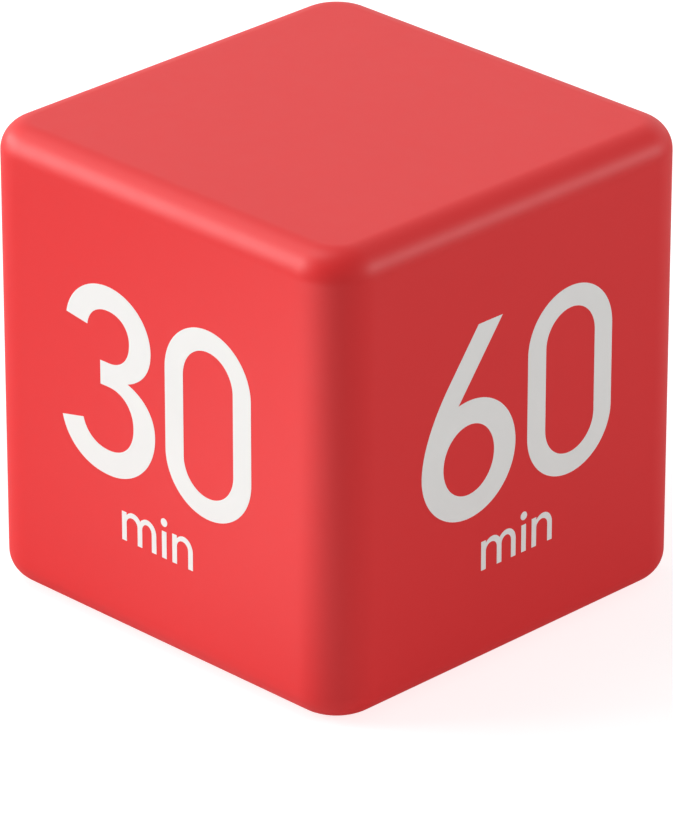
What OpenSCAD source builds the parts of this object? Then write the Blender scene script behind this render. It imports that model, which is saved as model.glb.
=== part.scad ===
// Turn-to-start cube timer, in millimetres.
// The cube stands on its service face with its blank face up; the origin is the middle of that base.
// Four sides carry a time. Turning one of them up rolls a steel ball onto that side's contacts,
// which starts the count. Seen from above, -Y is the front and +X the right side.
// The battery door is in the front half of the base.

/* [Case] */
// Edge length of the cube
cube_side = 63; // [62.5:0.5:80]
// Radius of the four upright edges, seen from above
corner_r = 6.7; // [5.6:0.1:9]
// Radius of the edges round the top and round the base
edge_r = 3.9; // [2.6:0.1:4.2]
// Wall of the outer shell
wall = 2.2; // [1.6:0.1:2.5]
// Flat rim between the bottom edge and the service opening
rim_w = 1.2; // [0.6:0.1:1.6]
// Thickness of the ribs and webs inside the shell
rib_t = 1.2; // [0.8:0.1:2]
// Height of the ribs that stop the service panel
stop_rib_h = 20; // [8:1:50]
// Overlap of each stop rib on the panel's inner face
stop_bite = 0.4; // [0.2:0.05:0.5]

/* [Service panel] */
// Thickness of the service panel
panel_t = 2.4; // [2.2:0.1:3]
// Gap between the panel and the opening, all round
panel_gap = 0.2; // [0.1:0.05:0.4]
// Depth of the panel's outside face above the plane the cube stands on
panel_recess = 0.2; // [0.1:0.05:0.5]
// Width of each tongue that hooks the panel under the rim
tongue_w = 8; // [4:0.5:10]
// Reach of the tongues past the edge of the opening
tongue_reach = 1.4; // [0.8:0.1:1.6]
// Thickness of the tongues
tongue_t = 1.4; // [1:0.1:2]
// Distance of the tongues from the middle of the panel
tongue_x = 14; // [8:0.5:16]

/* [Battery bay] */
// Diameter of an AAA cell
cell_d = 10.5; // [10:0.1:10.5]
// Length of an AAA cell with its positive button
cell_l = 44.5; // [43.5:0.1:44.5]
// Gap between the two cells
cell_gap = 0.8; // [0.4:0.1:1]
// Play round the cells
cell_play = 0.3; // [0.2:0.05:0.4]
// Length of a contact spring with a cell in place
spring_l = 3; // [2.6:0.1:3.2]
// Thickness of the contact plates
contact_t = 0.3; // [0.2:0.05:0.4]
// Width of the contact plates
contact_w = 8.6; // [6:0.1:9.4]
// Wall of the battery bay
bay_wall = 1.2; // [1:0.1:1.4]
// Diameter of the spring wire
spring_wire = 0.5; // [0.4:0.05:0.6]
// Radius of a spring where it stands on its plate
spring_base_r = 4.2; // [3.8:0.1:4.4]
// Radius of a spring where it meets the cell
spring_tip_r = 1.8; // [1.2:0.1:2]
// Turns of a spring
spring_turns = 3; // [2:0.5:3]

/* [Battery door] */
// Thickness of the battery door
door_t = 1.5; // [1.2:0.1:1.6]
// Gap between the door and the panel, all round
door_gap = 0.3; // [0.2:0.05:0.5]
// Radius of the door's hinge barrel
barrel_r = 1.25; // [1.1:0.05:1.3]
// Radius of the hinge pegs
peg_r = 0.75; // [0.5:0.05:0.8]
// Length of the hinge pegs
peg_l = 1; // [0.6:0.1:1.2]
// Running clearance of the pegs in their bores
peg_play = 0.06; // [0.03:0.01:0.1]
// Width of the spring latch
latch_w = 9; // [6:0.5:14]
// Thickness of the latch's spring leaf
latch_t = 0.8; // [0.6:0.1:1]
// Width inside the latch's bend
latch_bend = 1.8; // [1.2:0.1:2.4]
// Height of the latch above the door
latch_h = 5; // [4:0.1:5.6]
// Length of the latch's thumb tab
latch_tab = 1.5; // [1:0.1:2]

/* [Display] */
// Overlap of the display window past each end of the display glass
window_lap = 1; // [0.6:0.1:1.3]
// Thickness of the display window
window_t = 1.2; // [0.8:0.1:1.3]
// Border of the display glass that the panel hides at each end
view_border = 1; // [0.7:0.1:3]
// Length of the display glass
lcd_l = 27; // [26.4:0.2:28]
// Width of the display glass
lcd_w = 13; // [12.6:0.1:13.4]
// Thickness of each of the two display glasses
glass_t = 1.1; // [0.7:0.1:1.2]
// Width of the bare contact ledge on the front glass
ledge_w = 2.6; // [2.4:0.1:2.8]
// Thickness of the polariser and reflector films
film_t = 0.2; // [0.1:0.05:0.3]
// Wall of the display holder
holder_wall = 1.2; // [0.8:0.1:1.4]

/* [Circuit board] */
// Thickness of the circuit board
board_t = 1.2; // [0.8:0.1:1.6]
// Height of the board above the panel
board_lift = 7; // [6.8:0.1:8]
// Radius of the board's screw bosses
boss_r = 2; // [1.7:0.1:2.2]

/* [Power switch] */
// Travel of the power switch
switch_travel = 2; // [1:0.1:2.2]
// Length of the switch's finger knob
knob_l = 4; // [3:0.1:4.4]
// Width of the switch's finger knob
knob_w = 3.2; // [2.4:0.1:3.6]
// Gap between the knob and its slot
knob_gap = 0.3; // [0.2:0.05:0.5]

/* [Sounder] */
// Radius of the sounder's case
sounder_r = 4.25; // [3.8:0.05:4.4]
// Gap between the sounder and the panel, for the sound to spread
sounder_gap = 0.6; // [0.3:0.1:1.4]
// Radius of each sound hole in the panel
sound_hole_r = 0.6; // [0.4:0.05:0.8]

/* [Tilt sensor] */
// Radius of the steel ball
ball_r = 2; // [1.6:0.1:2.2]
// Gap between the ball and the walls of its race
ball_gap = 0.3; // [0.2:0.05:0.4]
// Roll of the ball from the middle to a pair of contacts
ball_roll = 2.6; // [2:0.1:2.8]
// Radius of the contact pins
pin_r = 0.3; // [0.2:0.05:0.35]
// Side of the square sensor body
tilt_side = 14.6; // [14:0.1:16]

/* [Screws] */
// Radius of the case screws
case_screw_r = 1; // [0.8:0.05:1.2]
// Length of the case screws under the head
case_screw_l = 8; // [6:0.5:12]
// Radius of the board screws
board_screw_r = 0.8; // [0.6:0.05:0.9]
// Length of the board screws under the head
board_screw_l = 5; // [4:0.5:6.5]
// Clearance round a screw's shank
screw_play = 0.05; // [0.02:0.01:0.1]

/* [Hidden] */
$fn = 64;
// Overshoot of a cut past a face, so that the cut goes right through
over = 1;
// Gap left between pieces that lie on each other without bearing
slack = 0.1;
// Depth of a pressed or moulded step that only has to show
step = 0.4;

// Service opening and panel
opening = cube_side - 2 * (edge_r + rim_w);
opening_r = corner_r - edge_r - rim_w;
panel_w = opening - 2 * panel_gap;
panel_r = opening_r - panel_gap;
panel_half = panel_w / 2;
panel_out = panel_recess;
panel_in = panel_recess + panel_t;
stop_clear = 2;
back_stop = 4;
cavity_half = cube_side / 2 - wall;
cavity_top = cube_side - wall;

// Battery bay
bay_margin = 0.6;
bay_l = cell_l + spring_l + 2 * contact_t;
bay_w = 2 * cell_d + cell_gap + 2 * cell_play;
bay_front = -panel_half + bay_margin + bay_wall;
bay_back = bay_front + bay_w;
bay_mid = (bay_front + bay_back) / 2;
cell_y = [bay_mid - (cell_d + cell_gap) / 2, bay_mid + (cell_d + cell_gap) / 2];
cell_z = panel_in + slack + cell_d / 2;
roof_in = cell_z + cell_d / 2 + cell_play;
roof_out = roof_in + bay_wall;
cell_shift = spring_l / 2;
contact_top = roof_in - slack;
contact_foot = panel_in + slack;
contact_corner = 0.8;
solder_tab_w = 3;
solder_tab_h = 2.4;

// Battery door, its hinge and its latch
hinge_strip = 1.2;
recess_half = bay_l / 2 + bay_wall / 4;
recess_front = -panel_half + hinge_strip;
door_half = recess_half - door_gap;
loading_margin = 0.75;
loading_half = cell_l / 2 + loading_margin;
hinge_y = recess_front + door_gap + barrel_r;
hinge_z = panel_out + barrel_r;
door_in = panel_out + door_t;
ledge_z = door_in + slack;
door_corner = 1;
peg_bore_r = peg_r + peg_play;
peg_bore_l = peg_l + slack + door_gap;
leg_in = bay_back + slack;
leg_out = leg_in + latch_t + latch_bend;
latch_top = door_in + latch_h;
bend_r = latch_bend / 2 + latch_t;
catch_bite = 0.5;
catch_h = 0.8;
catch_edge = leg_out + latch_t + catch_bite + door_gap;
door_back = leg_in + latch_t;
recess_back = door_back + door_gap;
loading_back = bay_back - slack;
finger_back = catch_edge + 2.5;
finger_half = latch_w / 2 + 1.5;
latch_hole_half = latch_w / 2 + door_gap;
pocket_in = catch_edge + door_gap;
pocket_out = pocket_in + bay_wall;
pocket_top = latch_top + 0.6;
tab_t = 1;

// Screw posts of the shell
post_r = 3.2;
post_inset = 3.6;
post_spot = panel_half - post_inset;

// Circuit board and its neighbours
board_in = panel_in + board_lift;
board_out = board_in + board_t;
board_front = pocket_out + step;
board_back = panel_half - 0.6;
board_half = panel_half - 1.2;
lcd_play = 0.1;
holder_l = lcd_l + 2 * (lcd_play + holder_wall);
holder_w = lcd_w + 2 * (lcd_play + holder_wall);
board_notch = post_spot - post_r - 2 * step;
holder_front = 1.35;
holder_r = 1;
lcd_y = board_front + holder_front + holder_w / 2;
view_y = lcd_y + ledge_w / 2;
window_l = lcd_l + 2 * window_lap;
window_w = lcd_w + window_lap;
view_l = lcd_l - 2 * view_border;
view_w = lcd_w - ledge_w - 2 * step;
switch_rise = 0.6;
sounder_rise = 0.2;
window_r = 2;
view_r = 1;
switch_y = lcd_y + switch_rise;
sounder_y = lcd_y + sounder_rise;
side_stop = board_front + stop_clear;
switch_room = 3.4;
sounder_room = 5.5;
switch_x = holder_l / 2 + switch_room;
sounder_x = -(holder_l / 2 + sounder_room);
lcd_front_in = panel_in + glass_t;
lcd_back_in = lcd_front_in + glass_t;
lip_z = lcd_back_in + film_t + slack;
lip_t = 1;
lip_w = 1;
zebra_t = 2;
boss_edge = 0.8;
boss_front = [board_half - boss_r - boss_edge, board_front + boss_r + slack];
boss_back = [board_notch - boss_r, lcd_y + holder_w / 2 + boss_r + slack];
boss_spots = [for (sx = [-1, 1]) for (spot = [boss_front, boss_back]) [sx * spot.x, spot.y]];

// Case screws and board screws
post_bore_l = case_screw_l + 2;
case_head_r = 1.9;
case_head_h = 1.1;
case_head_out = panel_out + 0.2;
case_head_in = case_head_out + case_head_h;
head_play = 0.3;
board_head_r = 1.7;
board_head_h = 1.1;
board_bore_l = board_screw_l - board_t + 0.6;
driver_slot_w = 0.5;
driver_slot_depth = 0.5;

// Power switch
switch_off_y = switch_y - switch_travel / 2;
slot_l = knob_l + switch_travel + 2 * knob_gap;
slot_w = knob_w + 2 * knob_gap;
dish_l = slot_l + 2.4;
dish_w = slot_w + 2.4;
dish_r = 1.5;
dish_depth = 0.8;
slot_r = 1;
knob_out = panel_out + 0.3;
flange_l = slot_l + switch_travel + 0.2;
flange_w = slot_w + 1.8;
flange_out = panel_in + slack;
flange_in = flange_out + 0.8;
socket_in = flange_in + 1.6;
frame_l = 8.6;
frame_w = 3.8;
frame_wall = 0.4;
frame_out = socket_in + step;
wafer_t = 0.8;
stem_side = 1.4;
stem_play = 0.05;
slider_l = 4.2;
slider_out = frame_out + frame_wall + slack;
slider_in = board_in - wafer_t - 2 * step;
terminal_pitch = 2.5;
terminal_side = 0.5;
lead_proud = 0.8;

// Sounder
sounder_out = panel_in + sounder_gap;
sounder_h = board_in - sounder_out;
sounder_wall = 0.5;
throat_r = 1;
sounder_shelf = sounder_out + sounder_h / 2;
disc_t = 0.3;
collar_wall = 0.6;
collar_h = 2;
sound_ring_r = 2.4;
sound_ring_count = 6;

// Tilt sensor
tilt_y = lcd_y + 1;
part_gap = 1.2;
chip_l = 2;
chip_w = 1.25;
chip_h = 0.6;
chip_row = 5;
tilt_r = 1;
tray_floor = 1;
race_w = 2 * (ball_r + ball_gap);
race_h = 2 * ball_r + ball_gap;
tray_h = tray_floor + race_h;
lid_t = 1;
pin_spread = 1.2;
ball_float = 0.05;
pin_gap = 0.1;
pin_reach = ball_roll + sqrt(pow(ball_r + pin_r + pin_gap, 2) - pow(pin_spread, 2));
race_end = pin_reach + pin_r + 0.25;
pin_hole_r = pin_r + 0.05;
ball_z = board_out + tray_floor + ball_r + ball_float;
lid_peg_r = 0.7;
lid_peg_l = 1.6;
lid_peg_spot = tilt_side / 2 - 1.6;

// Battery leads: routes chosen by hand between the solder tabs and the board
lead_d = 1.2;
lead_sides = 8;
lead_land_x = board_half - 2.2;
tab_face_x = bay_l / 2 - contact_t;
tab_mid_z = roof_out + solder_tab_h / 2;
red_route = [
    [tab_face_x, cell_y[0], tab_mid_z], [tab_face_x - 1.5, cell_y[0], tab_mid_z],
    [tab_face_x - 2.8, -17, 16.4], [tab_face_x - 3.4, -14, 16.2], [tab_face_x - 3.4, -10, 16],
    [tab_face_x - 3.2, -6, 16], [tab_face_x - 2.8, -2, 16.2], [tab_face_x - 2, 2, 16.2],
    [lead_land_x - 0.4, 6, 16], [lead_land_x, 9.6, 14.8], [lead_land_x, 10.8, 12.8],
    [lead_land_x, 10.8, board_out],
];
black_route = [
    [tab_face_x, cell_y[1], tab_mid_z], [tab_face_x - 1.5, cell_y[1], tab_mid_z],
    [tab_face_x - 1.8, -5.4, 16.6], [tab_face_x - 1.4, -2, 17.8], [tab_face_x - 1, 2, 18.6],
    [lead_land_x + 0.2, 6, 18.6], [lead_land_x + 0.2, 10, 17.6], [lead_land_x, 13.2, 15.2],
    [lead_land_x, 14.2, 13], [lead_land_x, 14.2, board_out],
];
lead_steps = 3;

// Colours
case_red = "#e13c3e";
ink_black = "#1d1d1f";
board_green = "#2c6b4a";
bright_metal = "#c9ccd0";
brass_colour = "#c9a24b";

// Shared shapes

// Rectangle with round corners, centred on the origin
module rounded_rect(w, d, r) {
    square([w - 2 * r, d], center = true);
    square([w, d - 2 * r], center = true);
    for (sx = [-1, 1], sy = [-1, 1])
        translate([sx * (w / 2 - r), sy * (d / 2 - r)]) circle(r);
}

// Flat plate with round corners, from z to z + h
module plate(w, d, r, z, h) {
    translate([0, 0, z]) linear_extrude(h) rounded_rect(w, d, r);
}

// Box given by its lowest and highest corners
module block(low, high) {
    translate(low) cube(high - low);
}

// Upright round rod
module rod(r, z, h) {
    translate([0, 0, z]) cylinder(r = r, h = h);
}

// Half of a round-cornered section, ready to revolve
module half_section(radius, height, r) {
    intersection() {
        translate([0, height / 2]) rounded_rect(2 * radius, height, r);
        translate([0, -over]) square([radius + over, height + 2 * over]);
    }
}

// Square block with round upright edges and smaller rounds at top and bottom
module soft_box(side, height, corner, edge) {
    straight = side - 2 * corner;
    for (turn = [0, 90]) rotate(turn)
        translate([-straight / 2, 0, height / 2]) rotate([90, 0, 90])
            linear_extrude(straight) rounded_rect(side, height, edge);
    for (sx = [-1, 1], sy = [-1, 1])
        translate([sx * straight / 2, sy * straight / 2, 0])
            rotate_extrude() half_section(corner, height, edge);
}

// Pan-head screw, head down at z = 0, shank upwards, with a cross recess in the head
module screw(head_r, head_h, shank_r, shank_l) {
    tip_l = shank_r;
    difference() {
        rotate_extrude() polygon([
            [0, 0], [head_r - step, 0], [head_r, step], [head_r, head_h], [shank_r, head_h],
            [shank_r, head_h + shank_l - tip_l], [shank_r / 3, head_h + shank_l], [0, head_h + shank_l],
        ]);
        for (turn = [0, 90]) rotate(turn)
            translate([0, 0, driver_slot_depth / 2])
                cube([head_r * 1.3, driver_slot_w, driver_slot_depth + slack], center = true);
    }
}

// Swept round tube along a list of points

function unit(v) = v / norm(v);

function heading(path, i) = unit(path[min(i + 1, len(path) - 1)] - path[max(i - 1, 0)]);

// Two directions across the tube at each point, carried along so that the tube doesn't twist
function across(path, i = 0, before = undef, made = []) =
    i == len(path) ? made :
    let (
        t = heading(path, i),
        guess = is_undef(before) ? (abs(t.z) < 0.8 ? [0, 0, 1] : [0, 1, 0]) : before,
        m = unit(guess - (guess * t) * t)
    ) across(path, i + 1, m, concat(made, [[m, cross(t, m)]]));

module tube(path, r, sides) {
    frame = across(path);
    rings = len(path);
    points = [
        for (i = [0:rings - 1]) for (k = [0:sides - 1])
            let (a = 360 * k / sides) path[i] + r * (cos(a) * frame[i][0] + sin(a) * frame[i][1])
    ];
    walls = [
        for (i = [0:rings - 2]) for (k = [0:sides - 1])
            let (a = i * sides + k, b = i * sides + (k + 1) % sides)
                each [[a, a + sides, b], [b, a + sides, b + sides]]
    ];
    last = (rings - 1) * sides;
    caps = [for (k = [1:sides - 2]) each [[0, k, k + 1], [last, last + k + 1, last + k]]];
    polyhedron(points, concat(walls, caps), convexity = 8);
}

// Smooth curve through hand-chosen points, with the first and last stretch kept straight
function bend(p0, p1, p2, p3, t) =
    0.5 * (2 * p1 + (p2 - p0) * t + (2 * p0 - 5 * p1 + 4 * p2 - p3) * t * t
        + (3 * p1 - p0 - 3 * p2 + p3) * t * t * t);

function smooth_route(points, steps) = concat(
    [points[0]],
    [for (i = [1:len(points) - 3]) for (s = [0:steps - 1])
        bend(points[i - 1], points[i], points[i + 1], points[i + 2], s / steps)],
    [points[len(points) - 2], points[len(points) - 1]]
);

// Conical spring along +X from its plate at x = 0, with a straight stub at each end
spring_rings = 12;
function spring_route() = let (
    count = spring_turns * spring_rings,
    stub = spring_wire,
    rise = spring_l - 2 * stub,
    coil = [for (i = [0:count]) let (
        share = i / count,
        a = 90 + 360 * spring_turns * share,
        r = spring_base_r + (spring_tip_r - spring_base_r) * share
    ) [stub + rise * share, r * cos(a), r * sin(a)]]
) concat([[0, coil[0].y, coil[0].z]], coil, [[spring_l, coil[count].y, coil[count].z]]);

// Least gap between one turn of a spring and the next
function spring_gap(path) = min([
    for (i = [0:len(path) - 1]) for (j = [i + spring_rings / 2:len(path) - 1])
        norm(path[i] - path[j]) - spring_wire
]);
echo(spring_gap_mm = spring_gap(spring_route()));

// Outer shell: five closed sides, a service opening, two screw posts and the ribs that stop the panel

module stop_rib() {
    inner = panel_half - stop_bite;
    translate([0, rib_t / 2, 0]) rotate([90, 0, 0]) linear_extrude(rib_t) polygon([
        [inner, panel_in], [cavity_half + wall / 2, panel_in],
        [cavity_half + wall / 2, panel_in + stop_rib_h],
        [inner, panel_in + stop_rib_h - (cavity_half - inner)],
    ]);
}

module screw_post() {
    rod(post_r, panel_in, cavity_top + wall / 2 - panel_in);
    web_end = cavity_half + wall / 2 - post_spot;
    for (turn = [0, 90]) rotate(turn)
        block([0, -rib_t / 2, panel_in + edge_r], [web_end, rib_t / 2, cavity_top + wall / 2]);
}

module outer_shell() color(case_red) {
    front_stop = tongue_x + tongue_w / 2 + stop_clear;
    stops = [
        [0, side_stop], [180, -side_stop], [90, back_stop], [90, -back_stop],
        [270, front_stop], [270, -front_stop],
    ];
    difference() {
        union() {
            difference() {
                soft_box(cube_side, cube_side, corner_r, edge_r);
                translate([0, 0, wall])
                    soft_box(cube_side - 2 * wall, cube_side - 2 * wall, corner_r - wall, edge_r - wall);
                plate(opening, opening, opening_r, -over, wall + 2 * over);
            }
            translate([post_spot, post_spot, 0]) screw_post();
            translate([-post_spot, post_spot, 0]) mirror([1, 0, 0]) screw_post();
            for (stop = stops) rotate(stop[0]) translate([0, stop[1], 0]) stop_rib();
        }
        for (sx = [-1, 1]) translate([sx * post_spot, post_spot, 0])
            rod(case_screw_r + screw_play, panel_in - over, post_bore_l + over);
    }
}

// Service panel: the plate that closes the base, with the battery bay, bosses and openings moulded in

module bay_walls() {
    outer_l = bay_l / 2 + bay_wall;
    block([-outer_l, bay_front - bay_wall, panel_in - slack], [outer_l, bay_back + bay_wall, roof_out]);
    block([-latch_hole_half - bay_wall, bay_back, panel_in - slack],
        [latch_hole_half + bay_wall, pocket_out, pocket_top + bay_wall]);
    for (sx = [-1, 1]) translate([sx * tongue_x, 0, wall + slack])
        block([-tongue_w / 2, -opening / 2 - tongue_reach, 0], [tongue_w / 2, bay_front - slack, tongue_t]);
}

module bay_hollow() {
    block([-bay_l / 2, bay_front, panel_in], [bay_l / 2, bay_back, roof_in]);
    block([-latch_hole_half, bay_back - over, panel_in], [latch_hole_half, pocket_in, pocket_top]);
    for (y = cell_y)
        block([tab_face_x - slack, y - solder_tab_w / 2 - slack, roof_in - over],
            [bay_l / 2, y + solder_tab_w / 2 + slack, roof_out + over]);
}

module door_cuts() {
    // shallow seat of the door
    block([-recess_half, recess_front, panel_out - over], [recess_half, recess_back, ledge_z]);
    // loading hole into the bay
    block([-loading_half, bay_front, panel_out], [loading_half, loading_back, panel_in + over]);
    // room for the hinge barrel
    block([-recess_half, recess_front, panel_out],
        [recess_half, hinge_y + barrel_r + door_gap, hinge_z + barrel_r + door_gap]);
    for (sx = [-1, 1]) translate([sx * (recess_half - over), hinge_y, hinge_z])
        rotate([0, sx * 90, 0]) cylinder(r = peg_bore_r, h = over + peg_bore_l);
    // finger dish and the hole that the latch springs into
    block([-finger_half, recess_back - over, panel_out - over], [finger_half, finger_back, ledge_z]);
    block([-latch_hole_half, loading_back - over, panel_out], [latch_hole_half, catch_edge, panel_in + over]);
}

module window_cuts() {
    translate([0, view_y, 0]) {
        plate(window_l + 2 * slack, window_w + 2 * slack, window_r + slack,
            panel_out - over, step / 2 + window_t + over);
        plate(view_l, view_w, view_r, panel_out, panel_t + over);
    }
}

module switch_cuts() {
    translate([switch_x, switch_y, 0]) {
        plate(dish_w, dish_l, dish_r, panel_out - over, dish_depth + over);
        plate(slot_w, slot_l, slot_r, panel_out, panel_t + over);
    }
}

module sound_holes() {
    translate([sounder_x, sounder_y, 0]) {
        rod(sound_hole_r, panel_out - over, panel_t + 2 * over);
        for (i = [0:sound_ring_count - 1]) rotate(360 * i / sound_ring_count)
            translate([sound_ring_r, 0, 0]) rod(sound_hole_r, panel_out - over, panel_t + 2 * over);
    }
}

module service_panel() color(case_red) difference() {
    union() {
        difference() {
            union() {
                plate(panel_w, panel_w, panel_r, panel_out, panel_t);
                bay_walls();
            }
            bay_hollow();
            door_cuts();
        }
        for (spot = boss_spots) translate(spot) rod(boss_r, panel_in - slack, board_lift + slack);
        translate([sounder_x, sounder_y, 0]) difference() {
            rod(sounder_r + slack + collar_wall, panel_in - slack, collar_h + slack);
            rod(sounder_r + slack, panel_in, collar_h + over);
        }
    }
    window_cuts();
    switch_cuts();
    sound_holes();
    for (spot = boss_spots) translate(spot)
        rod(board_screw_r + screw_play, board_in - board_bore_l, board_bore_l + over);
    for (sx = [-1, 1]) translate([sx * post_spot, post_spot, 0]) {
        rod(case_head_r + head_play, panel_out - over, case_head_in - panel_out + over);
        rod(case_screw_r + 3 * screw_play, panel_out, panel_t + over);
    }
}

// Battery door: a flap with a hinge barrel, two pegs, a stiffening rib and a folded spring latch

module spring_latch() {
    translate([-latch_w / 2, 0, 0]) rotate([90, 0, 90]) linear_extrude(latch_w) {
        bend_z = latch_top - bend_r;
        translate([leg_in, door_in - slack]) square([latch_t, bend_z - door_in + slack]);
        translate([leg_out, panel_out + step]) square([latch_t, bend_z - panel_out - step]);
        translate([leg_in + bend_r, bend_z]) intersection() {
            difference() {
                circle(bend_r);
                circle(bend_r - latch_t);
            }
            translate([-bend_r - over, 0]) square([2 * bend_r + 2 * over, bend_r + over]);
        }
        // catch behind the panel's edge, and the tab a thumb pulls
        translate([leg_out + latch_t - slack, panel_in + slack]) polygon([
            [0, 0], [catch_bite + slack, 0], [catch_bite + slack, catch_h / 3], [0, catch_h],
        ]);
        translate([leg_out, panel_out + step]) square([latch_t + latch_tab, tab_t]);
    }
}

module battery_door() color(case_red) {
    difference() {
        union() {
            door_d = door_back - hinge_y;
            translate([0, hinge_y + door_d / 2, 0])
                plate(2 * door_half, door_d + 2 * door_corner, door_corner, panel_out, door_t);
            translate([-door_half, hinge_y, hinge_z]) rotate([0, 90, 0])
                cylinder(r = barrel_r, h = 2 * door_half);
        }
        // square off the plate's hinge edge behind the barrel and its latch edge
        block([-door_half - over, hinge_y - barrel_r - over, panel_out - over],
            [door_half + over, hinge_y - barrel_r, panel_in + over]);
        block([-door_half - over, door_back, panel_out - over],
            [door_half + over, door_back + 3 * over, door_in + over]);
        hinge_edge_cut();
    }
    for (sx = [-1, 1]) translate([sx * (door_half - slack), hinge_y, hinge_z])
        rotate([0, sx * 90, 0]) cylinder(r = peg_r, h = slack + door_gap + peg_l);
    block([-loading_half + over, bay_mid - rib_t / 3, door_in - slack],
        [loading_half - over, bay_mid + rib_t / 3, door_in + rib_t]);
    spring_latch();
}

// Trims the plate's corners that reach past the barrel's round back
module hinge_edge_cut() {
    difference() {
        block([-door_half - over, hinge_y - barrel_r - over, panel_out - over],
            [door_half + over, hinge_y, panel_in + over]);
        translate([-door_half - 2 * over, hinge_y, hinge_z]) rotate([0, 90, 0])
            cylinder(r = barrel_r, h = 2 * door_half + 4 * over);
    }
}

// Display: window, films, two-glass cell, holder and the rubber connector strip

module display_window() color("#2a2d30") translate([0, view_y, 0])
    plate(window_l, window_w, window_r, panel_out + step / 2, window_t);

module lcd_polariser() color("#9aa596") translate([0, view_y, 0])
    plate(view_l - 2 * slack, view_w - 2 * slack, view_r - slack, panel_in - film_t, film_t);

module lcd_cell() color("#c8d0c4") translate([-lcd_l / 2, lcd_y - lcd_w / 2, 0]) {
    block([0, 0, panel_in], [lcd_l, lcd_w, lcd_front_in]);
    block([0, ledge_w, lcd_front_in], [lcd_l, lcd_w, lcd_back_in]);
}

module lcd_reflector() color("#b9beb2") translate([-lcd_l / 2, lcd_y - lcd_w / 2, 0])
    block([slack, ledge_w + slack, lcd_back_in], [lcd_l - slack, lcd_w - slack, lcd_back_in + film_t]);

module lcd_holder() color("#e9e7e1") translate([0, lcd_y, 0]) difference() {
    plate(holder_l, holder_w, holder_r, panel_in, board_lift);
    half_l = lcd_l / 2 + lcd_play;
    half_w = lcd_w / 2 + lcd_play;
    lip_front = -lcd_w / 2 + ledge_w + lip_w;
    // seat of the glass, the lip's opening and the room behind the lip
    block([-half_l, -half_w, panel_in - over], [half_l, half_w, lip_z]);
    block([-half_l + lip_w, lip_front, panel_in], [half_l - lip_w, half_w - lip_w, lip_z + lip_t + over]);
    block([-half_l, lip_front, lip_z + lip_t], [half_l, half_w, board_in + over]);
    // slot that guides the connector strip
    block([-half_l, -half_w, panel_in], [half_l, -lcd_w / 2 + zebra_t + slack, board_in + over]);
}

module zebra_strip() color("#3a3a3d") translate([0, lcd_y - lcd_w / 2, 0])
    block([-lcd_l / 2 + slack, 0, lcd_front_in], [lcd_l / 2 - slack, zebra_t, board_in]);

// Circuit board and the small parts on it

module board_hole(r) {
    rod(r, board_in - over, board_t + 2 * over);
}

module circuit_board() color(board_green) difference() {
    block([-board_half, board_front, board_in], [board_half, board_back, board_out]);
    // back corners cut away for the screw posts
    for (left = [0, 1]) mirror([left, 0, 0])
        block([board_notch, board_notch, board_in - over], [cube_side, cube_side, board_out + over]);
    for (spot = boss_spots) translate(spot) board_hole(board_screw_r + 3 * screw_play);
    for (spot = tilt_pin_spots()) translate(spot) board_hole(pin_hole_r);
    for (spot = terminal_spots()) translate(spot) board_hole(terminal_side);
    for (spot = sounder_pin_spots()) translate(spot) board_hole(pin_hole_r);
}

module controller_blob() color(ink_black) {
    dome_w = 3.6;
    dome_h = 1.3;
    dome_r = (dome_w * dome_w + dome_h * dome_h) / (2 * dome_h);
    translate([tilt_side / 2 + dome_w + part_gap, tilt_y, board_out]) rotate_extrude() intersection() {
        translate([0, dome_h - dome_r]) circle(dome_r);
        square([dome_w + over, dome_h + over]);
    }
}

module crystal_can() color(bright_metal) {
    can_r = 1;
    can_l = 6;
    translate([-tilt_side / 2 - 4 * part_gap, tilt_y - can_l / 2, board_out + can_r])
        rotate([-90, 0, 0]) cylinder(r = can_r, h = can_l);
}

module chip_components() color("#4a4038") {
    chip = [chip_l, chip_w, chip_h];
    for (i = [0:2]) {
        start = tilt_side / 2 + part_gap + i * (chip_l + part_gap);
        translate([start, tilt_y + chip_row, board_out]) cube(chip);
        translate([-start - chip_l, tilt_y - chip_row - chip_w, board_out]) cube(chip);
    }
}

// Tilt sensor: a cross-shaped race whose four arms point at the four timed sides

function tilt_pin_spots() = [
    for (turn = [0:90:270]) for (beside = [-pin_spread, pin_spread])
        [pin_reach * cos(turn) - beside * sin(turn), tilt_y + pin_reach * sin(turn) + beside * cos(turn)]
];

module tilt_tray() color("#d9d6cc") translate([0, tilt_y, board_out]) difference() {
    plate(tilt_side, tilt_side, tilt_r, 0, tray_h);
    for (turn = [0, 90]) rotate(turn)
        plate(2 * race_end, race_w, race_w / 4, tray_floor, race_h + over);
    for (spot = tilt_pin_spots()) translate([spot.x, spot.y - tilt_y, 0])
        rod(pin_hole_r, -over, tray_floor + 2 * over);
    for (sx = [-1, 1], sy = [-1, 1]) translate([sx * lid_peg_spot, sy * lid_peg_spot, 0])
        rod(lid_peg_r + slack / 2, tray_h - lid_peg_l - slack, lid_peg_l + over);
}

module tilt_lid() color("#c7c4ba") translate([0, tilt_y, board_out + tray_h]) {
    plate(tilt_side, tilt_side, tilt_r, 0, lid_t);
    for (sx = [-1, 1], sy = [-1, 1]) translate([sx * lid_peg_spot, sy * lid_peg_spot, 0])
        rod(lid_peg_r, -lid_peg_l, lid_peg_l + slack);
}

module tilt_pins() color(brass_colour)
    for (spot = tilt_pin_spots()) translate(spot) rod(pin_r, board_in, board_t + tray_h - slack);

module tilt_ball() color(bright_metal) translate([0, tilt_y, ball_z]) sphere(ball_r);

// Sounder: a tuned can with a piezo disc on its inner shelf

function sounder_pin_spots() = [for (sy = [-1, 1]) [sounder_x, sounder_y + sy * terminal_pitch]];

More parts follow.
